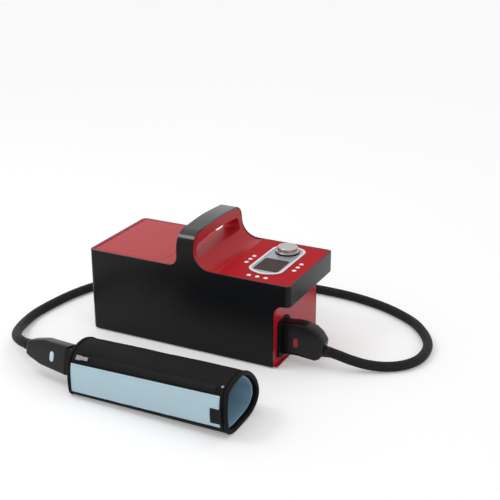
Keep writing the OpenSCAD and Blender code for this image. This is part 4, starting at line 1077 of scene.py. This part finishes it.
class THERAPY_OT_trim(bpy.types.Operator):
    """Builds the wrap's front panel, piping, tab, rivet, zip and stitches"""

    bl_idname = "therapy.trim"
    bl_label = "Wrap trim"

    def stitches(self, name, paint, slot, runs, out, pitch=3.1):
        places = []
        for path, normals in runs:
            travelled = 0.0
            for i in range(len(path) - 1):
                leg = path[i + 1] - path[i]
                while travelled < leg.length:
                    at = path[i] + leg.normalized() * travelled
                    places.append(lie(at + normals[i] * out * MM, leg, normals[i]))
                    travelled += pitch * MM
                travelled -= leg.length
        return settle(name, beads(places, (2.1, 0.5, 0.35), 0.12), paint, "unit")

    def run(self, k, left, right, out, fine=2 * FINE):
        """A straight run along the wrap at one place of its section, with its normals."""
        xs = stretch(left, right, 40)
        path = [section(x, out, fine)[k] for x in xs]
        normals = [(section(x, out + 1, fine)[k] - p).normalized() for x, p in zip(xs, path)]
        return path, normals

    def across(self, x, first, last, out, fine=2 * FINE):
        here, beyond = section(x, out, fine), section(x, out + 1, fine)
        path = here[first:last + 1]
        normals = [(b - a).normalized() for a, b in zip(path, beyond[first:last + 1])]
        return path, normals

    def execute(self, context):
        skin = LAYER_GAP + PANEL_T
        left, right = WRAP_LEFT + 1, WRAP_RIGHT - 5

        def crumple(x, share):
            edge = min(share, 1 - share, (x - left) / 52, (right - x) / 52)
            hem = 0.25 if edge < 0.09 else 0
            round_off = -1.1 * max(0, 1 - edge / 0.02)
            wave = noise.noise(Vector((x * 0.035, share * 3.2, 0)))
            pucker = noise.noise(Vector((x * 0.16, share * 2.0, 7))) * max(0, 1 - edge / 0.3)
            return hem + round_off + 0.55 * max(0, wave) + 0.3 * max(0, pucker)

        bm = strip(*PANEL_BAND, LAYER_GAP, skin, left, right, 150, crumple)
        panel = settle("front_panel", bm, panel_blue, "unit", ["wrap_panel"],
                       angle=70)
        sewn = self.stitches("panel_stitches", thread_pale, "panel_cloth", [
            self.run(PANEL_SEAMS[0], left + 3, right - 3, skin + 0.3),
            self.run(PANEL_SEAMS[1], left + 3, right - 3, skin + 0.3),
            self.across(left + 2.6, *PANEL_SEAMS, skin + 0.3),
            self.across(right - 2.6, *PANEL_SEAMS, skin + 0.3)], 0.1)
        rows = [section(x, LAYER_GAP, 2 * FINE) for x in stretch(left, right, 20)]

        flat = strip(*ZIP_BAND, LAYER_GAP, LAYER_GAP + 0.9, WRAP_LEFT + 3.5, WRAP_RIGHT - 14, 60,
                     lambda x, share: 0)
        settle("zip_tape_cloth", flat, tape_black, "unit", ["zip_tape"], angle=70)
        path, normals = self.run(ZIP_MIDDLE, WRAP_LEFT + 14, WRAP_RIGHT - 16, LAYER_GAP + 0.9)
        places = []
        total = sum((b - a).length for a, b in zip(path, path[1:]))
        count = int(total / 0.0016)
        for n in range(count):
            spot = n / count * (len(path) - 1)
            i = int(spot)
            at = path[i].lerp(path[i + 1], spot - i)
            tooth = lie(at + normals[i] * 0.00035, path[i + 1] - path[i], normals[i])
            places.append(tooth @ Matrix.Translation((0, 0.0006 * (-1) ** n, 0)))
        settle("zip_teeth", beads(places, (0.9, 2.6, 0.9), 0.25), thread_black, "unit")

        tab = strip(*TAB_BAND, 2 * LAYER_GAP + PANEL_T, 2 * LAYER_GAP + 2 * PANEL_T,
                    WRAP_RIGHT - 20.5, WRAP_RIGHT - 0.5, 12,
                    lambda x, share: -0.9 * max(0, 1 - min(share, 1 - share) / 0.06))
        settle("panel_tab", tab, tape_black, "unit", ["wrap_tab"], angle=60)
        at = WRAP_RIGHT - 5.5
        here, beyond = (section(at, LAYER_GAP + up, FINE // 2)[RIVET_AT] for up in (0, 1))
        out = (beyond - here).normalized()
        rivet = turned([(0, 0), (2.5, 0), (2.5, 0.4), (2.2, 0.9), (1.6, 1.25), (0.9, 1.4),
                        (0.7, 1.2), (0, 1.1)], 32)
        settle("mouth_rivet", moved(rivet, lie(here, Vector((1, 0, 0)), out)), slider_metal,
               "unit")
        dress("zip_slider", slider_metal, 0.5)

        rolls = bmesh.new()
        for x in (WRAP_LEFT - PIPING_D / 2 - LAYER_GAP, WRAP_RIGHT + PIPING_D / 2 + LAYER_GAP):
            path = section(x, -WRAP_T / 2)
            ring = surface(tube_rows(path, PIPING_D / 2 * MM, 16, (1, 0, 0), True),
                           along_closed=True)
            ring.loops.layers.uv.verify()
            part = bpy.data.meshes.new("roll")
            ring.to_mesh(part)
            ring.free()
            rolls.from_mesh(part)
            bpy.data.meshes.remove(part)
        settle("mouth_piping", on_floor(rolls), binding_black, "unit",
               ["wrap_piping"], angle=75)
        return {"FINISHED"}


OPERATORS = (
    THERAPY_OT_stage, THERAPY_OT_hose, THERAPY_OT_case, THERAPY_OT_top, THERAPY_OT_reservoir,
    THERAPY_OT_controls, THERAPY_OT_port, THERAPY_OT_works, THERAPY_OT_cover,
    THERAPY_OT_lining, THERAPY_OT_trim,
)
GROUPS = {
    "case_looks": CaseLooks, "control_looks": ControlLooks, "hose_looks": HoseLooks,
    "wrap_looks": WrapLooks, "stage_looks": StageLooks,
}


class THERAPY_PT_panel(bpy.types.Panel):
    """Lists the pieces of the therapy unit and their settings"""

    bl_idname = "THERAPY_PT_panel"
    bl_label = "Therapy unit"
    bl_space_type = "VIEW_3D"
    bl_region_type = "UI"
    bl_category = "Therapy unit"

    def draw(self, context):
        for operator in OPERATORS:
            self.layout.operator(operator.bl_idname)
        for name, group in GROUPS.items():
            box = self.layout.box()
            for setting in group.__annotations__:
                box.prop(getattr(context.scene, name), setting)


def register():
    for group in GROUPS.values():
        bpy.utils.register_class(group)
    for name, group in GROUPS.items():
        setattr(bpy.types.Scene, name, PointerProperty(type=group))
    for operator in OPERATORS:
        bpy.utils.register_class(operator)
    bpy.utils.register_class(THERAPY_PT_panel)


def unregister():
    bpy.utils.unregister_class(THERAPY_PT_panel)
    for operator in reversed(OPERATORS):
        bpy.utils.unregister_class(operator)
    for name in GROUPS:
        delattr(bpy.types.Scene, name)
    for group in GROUPS.values():
        bpy.utils.unregister_class(group)


def main():
    register()
    for operator in OPERATORS:
        group, name = operator.bl_idname.split(".")
        getattr(getattr(bpy.ops, group), name)()


if __name__ == "__main__":
    main()
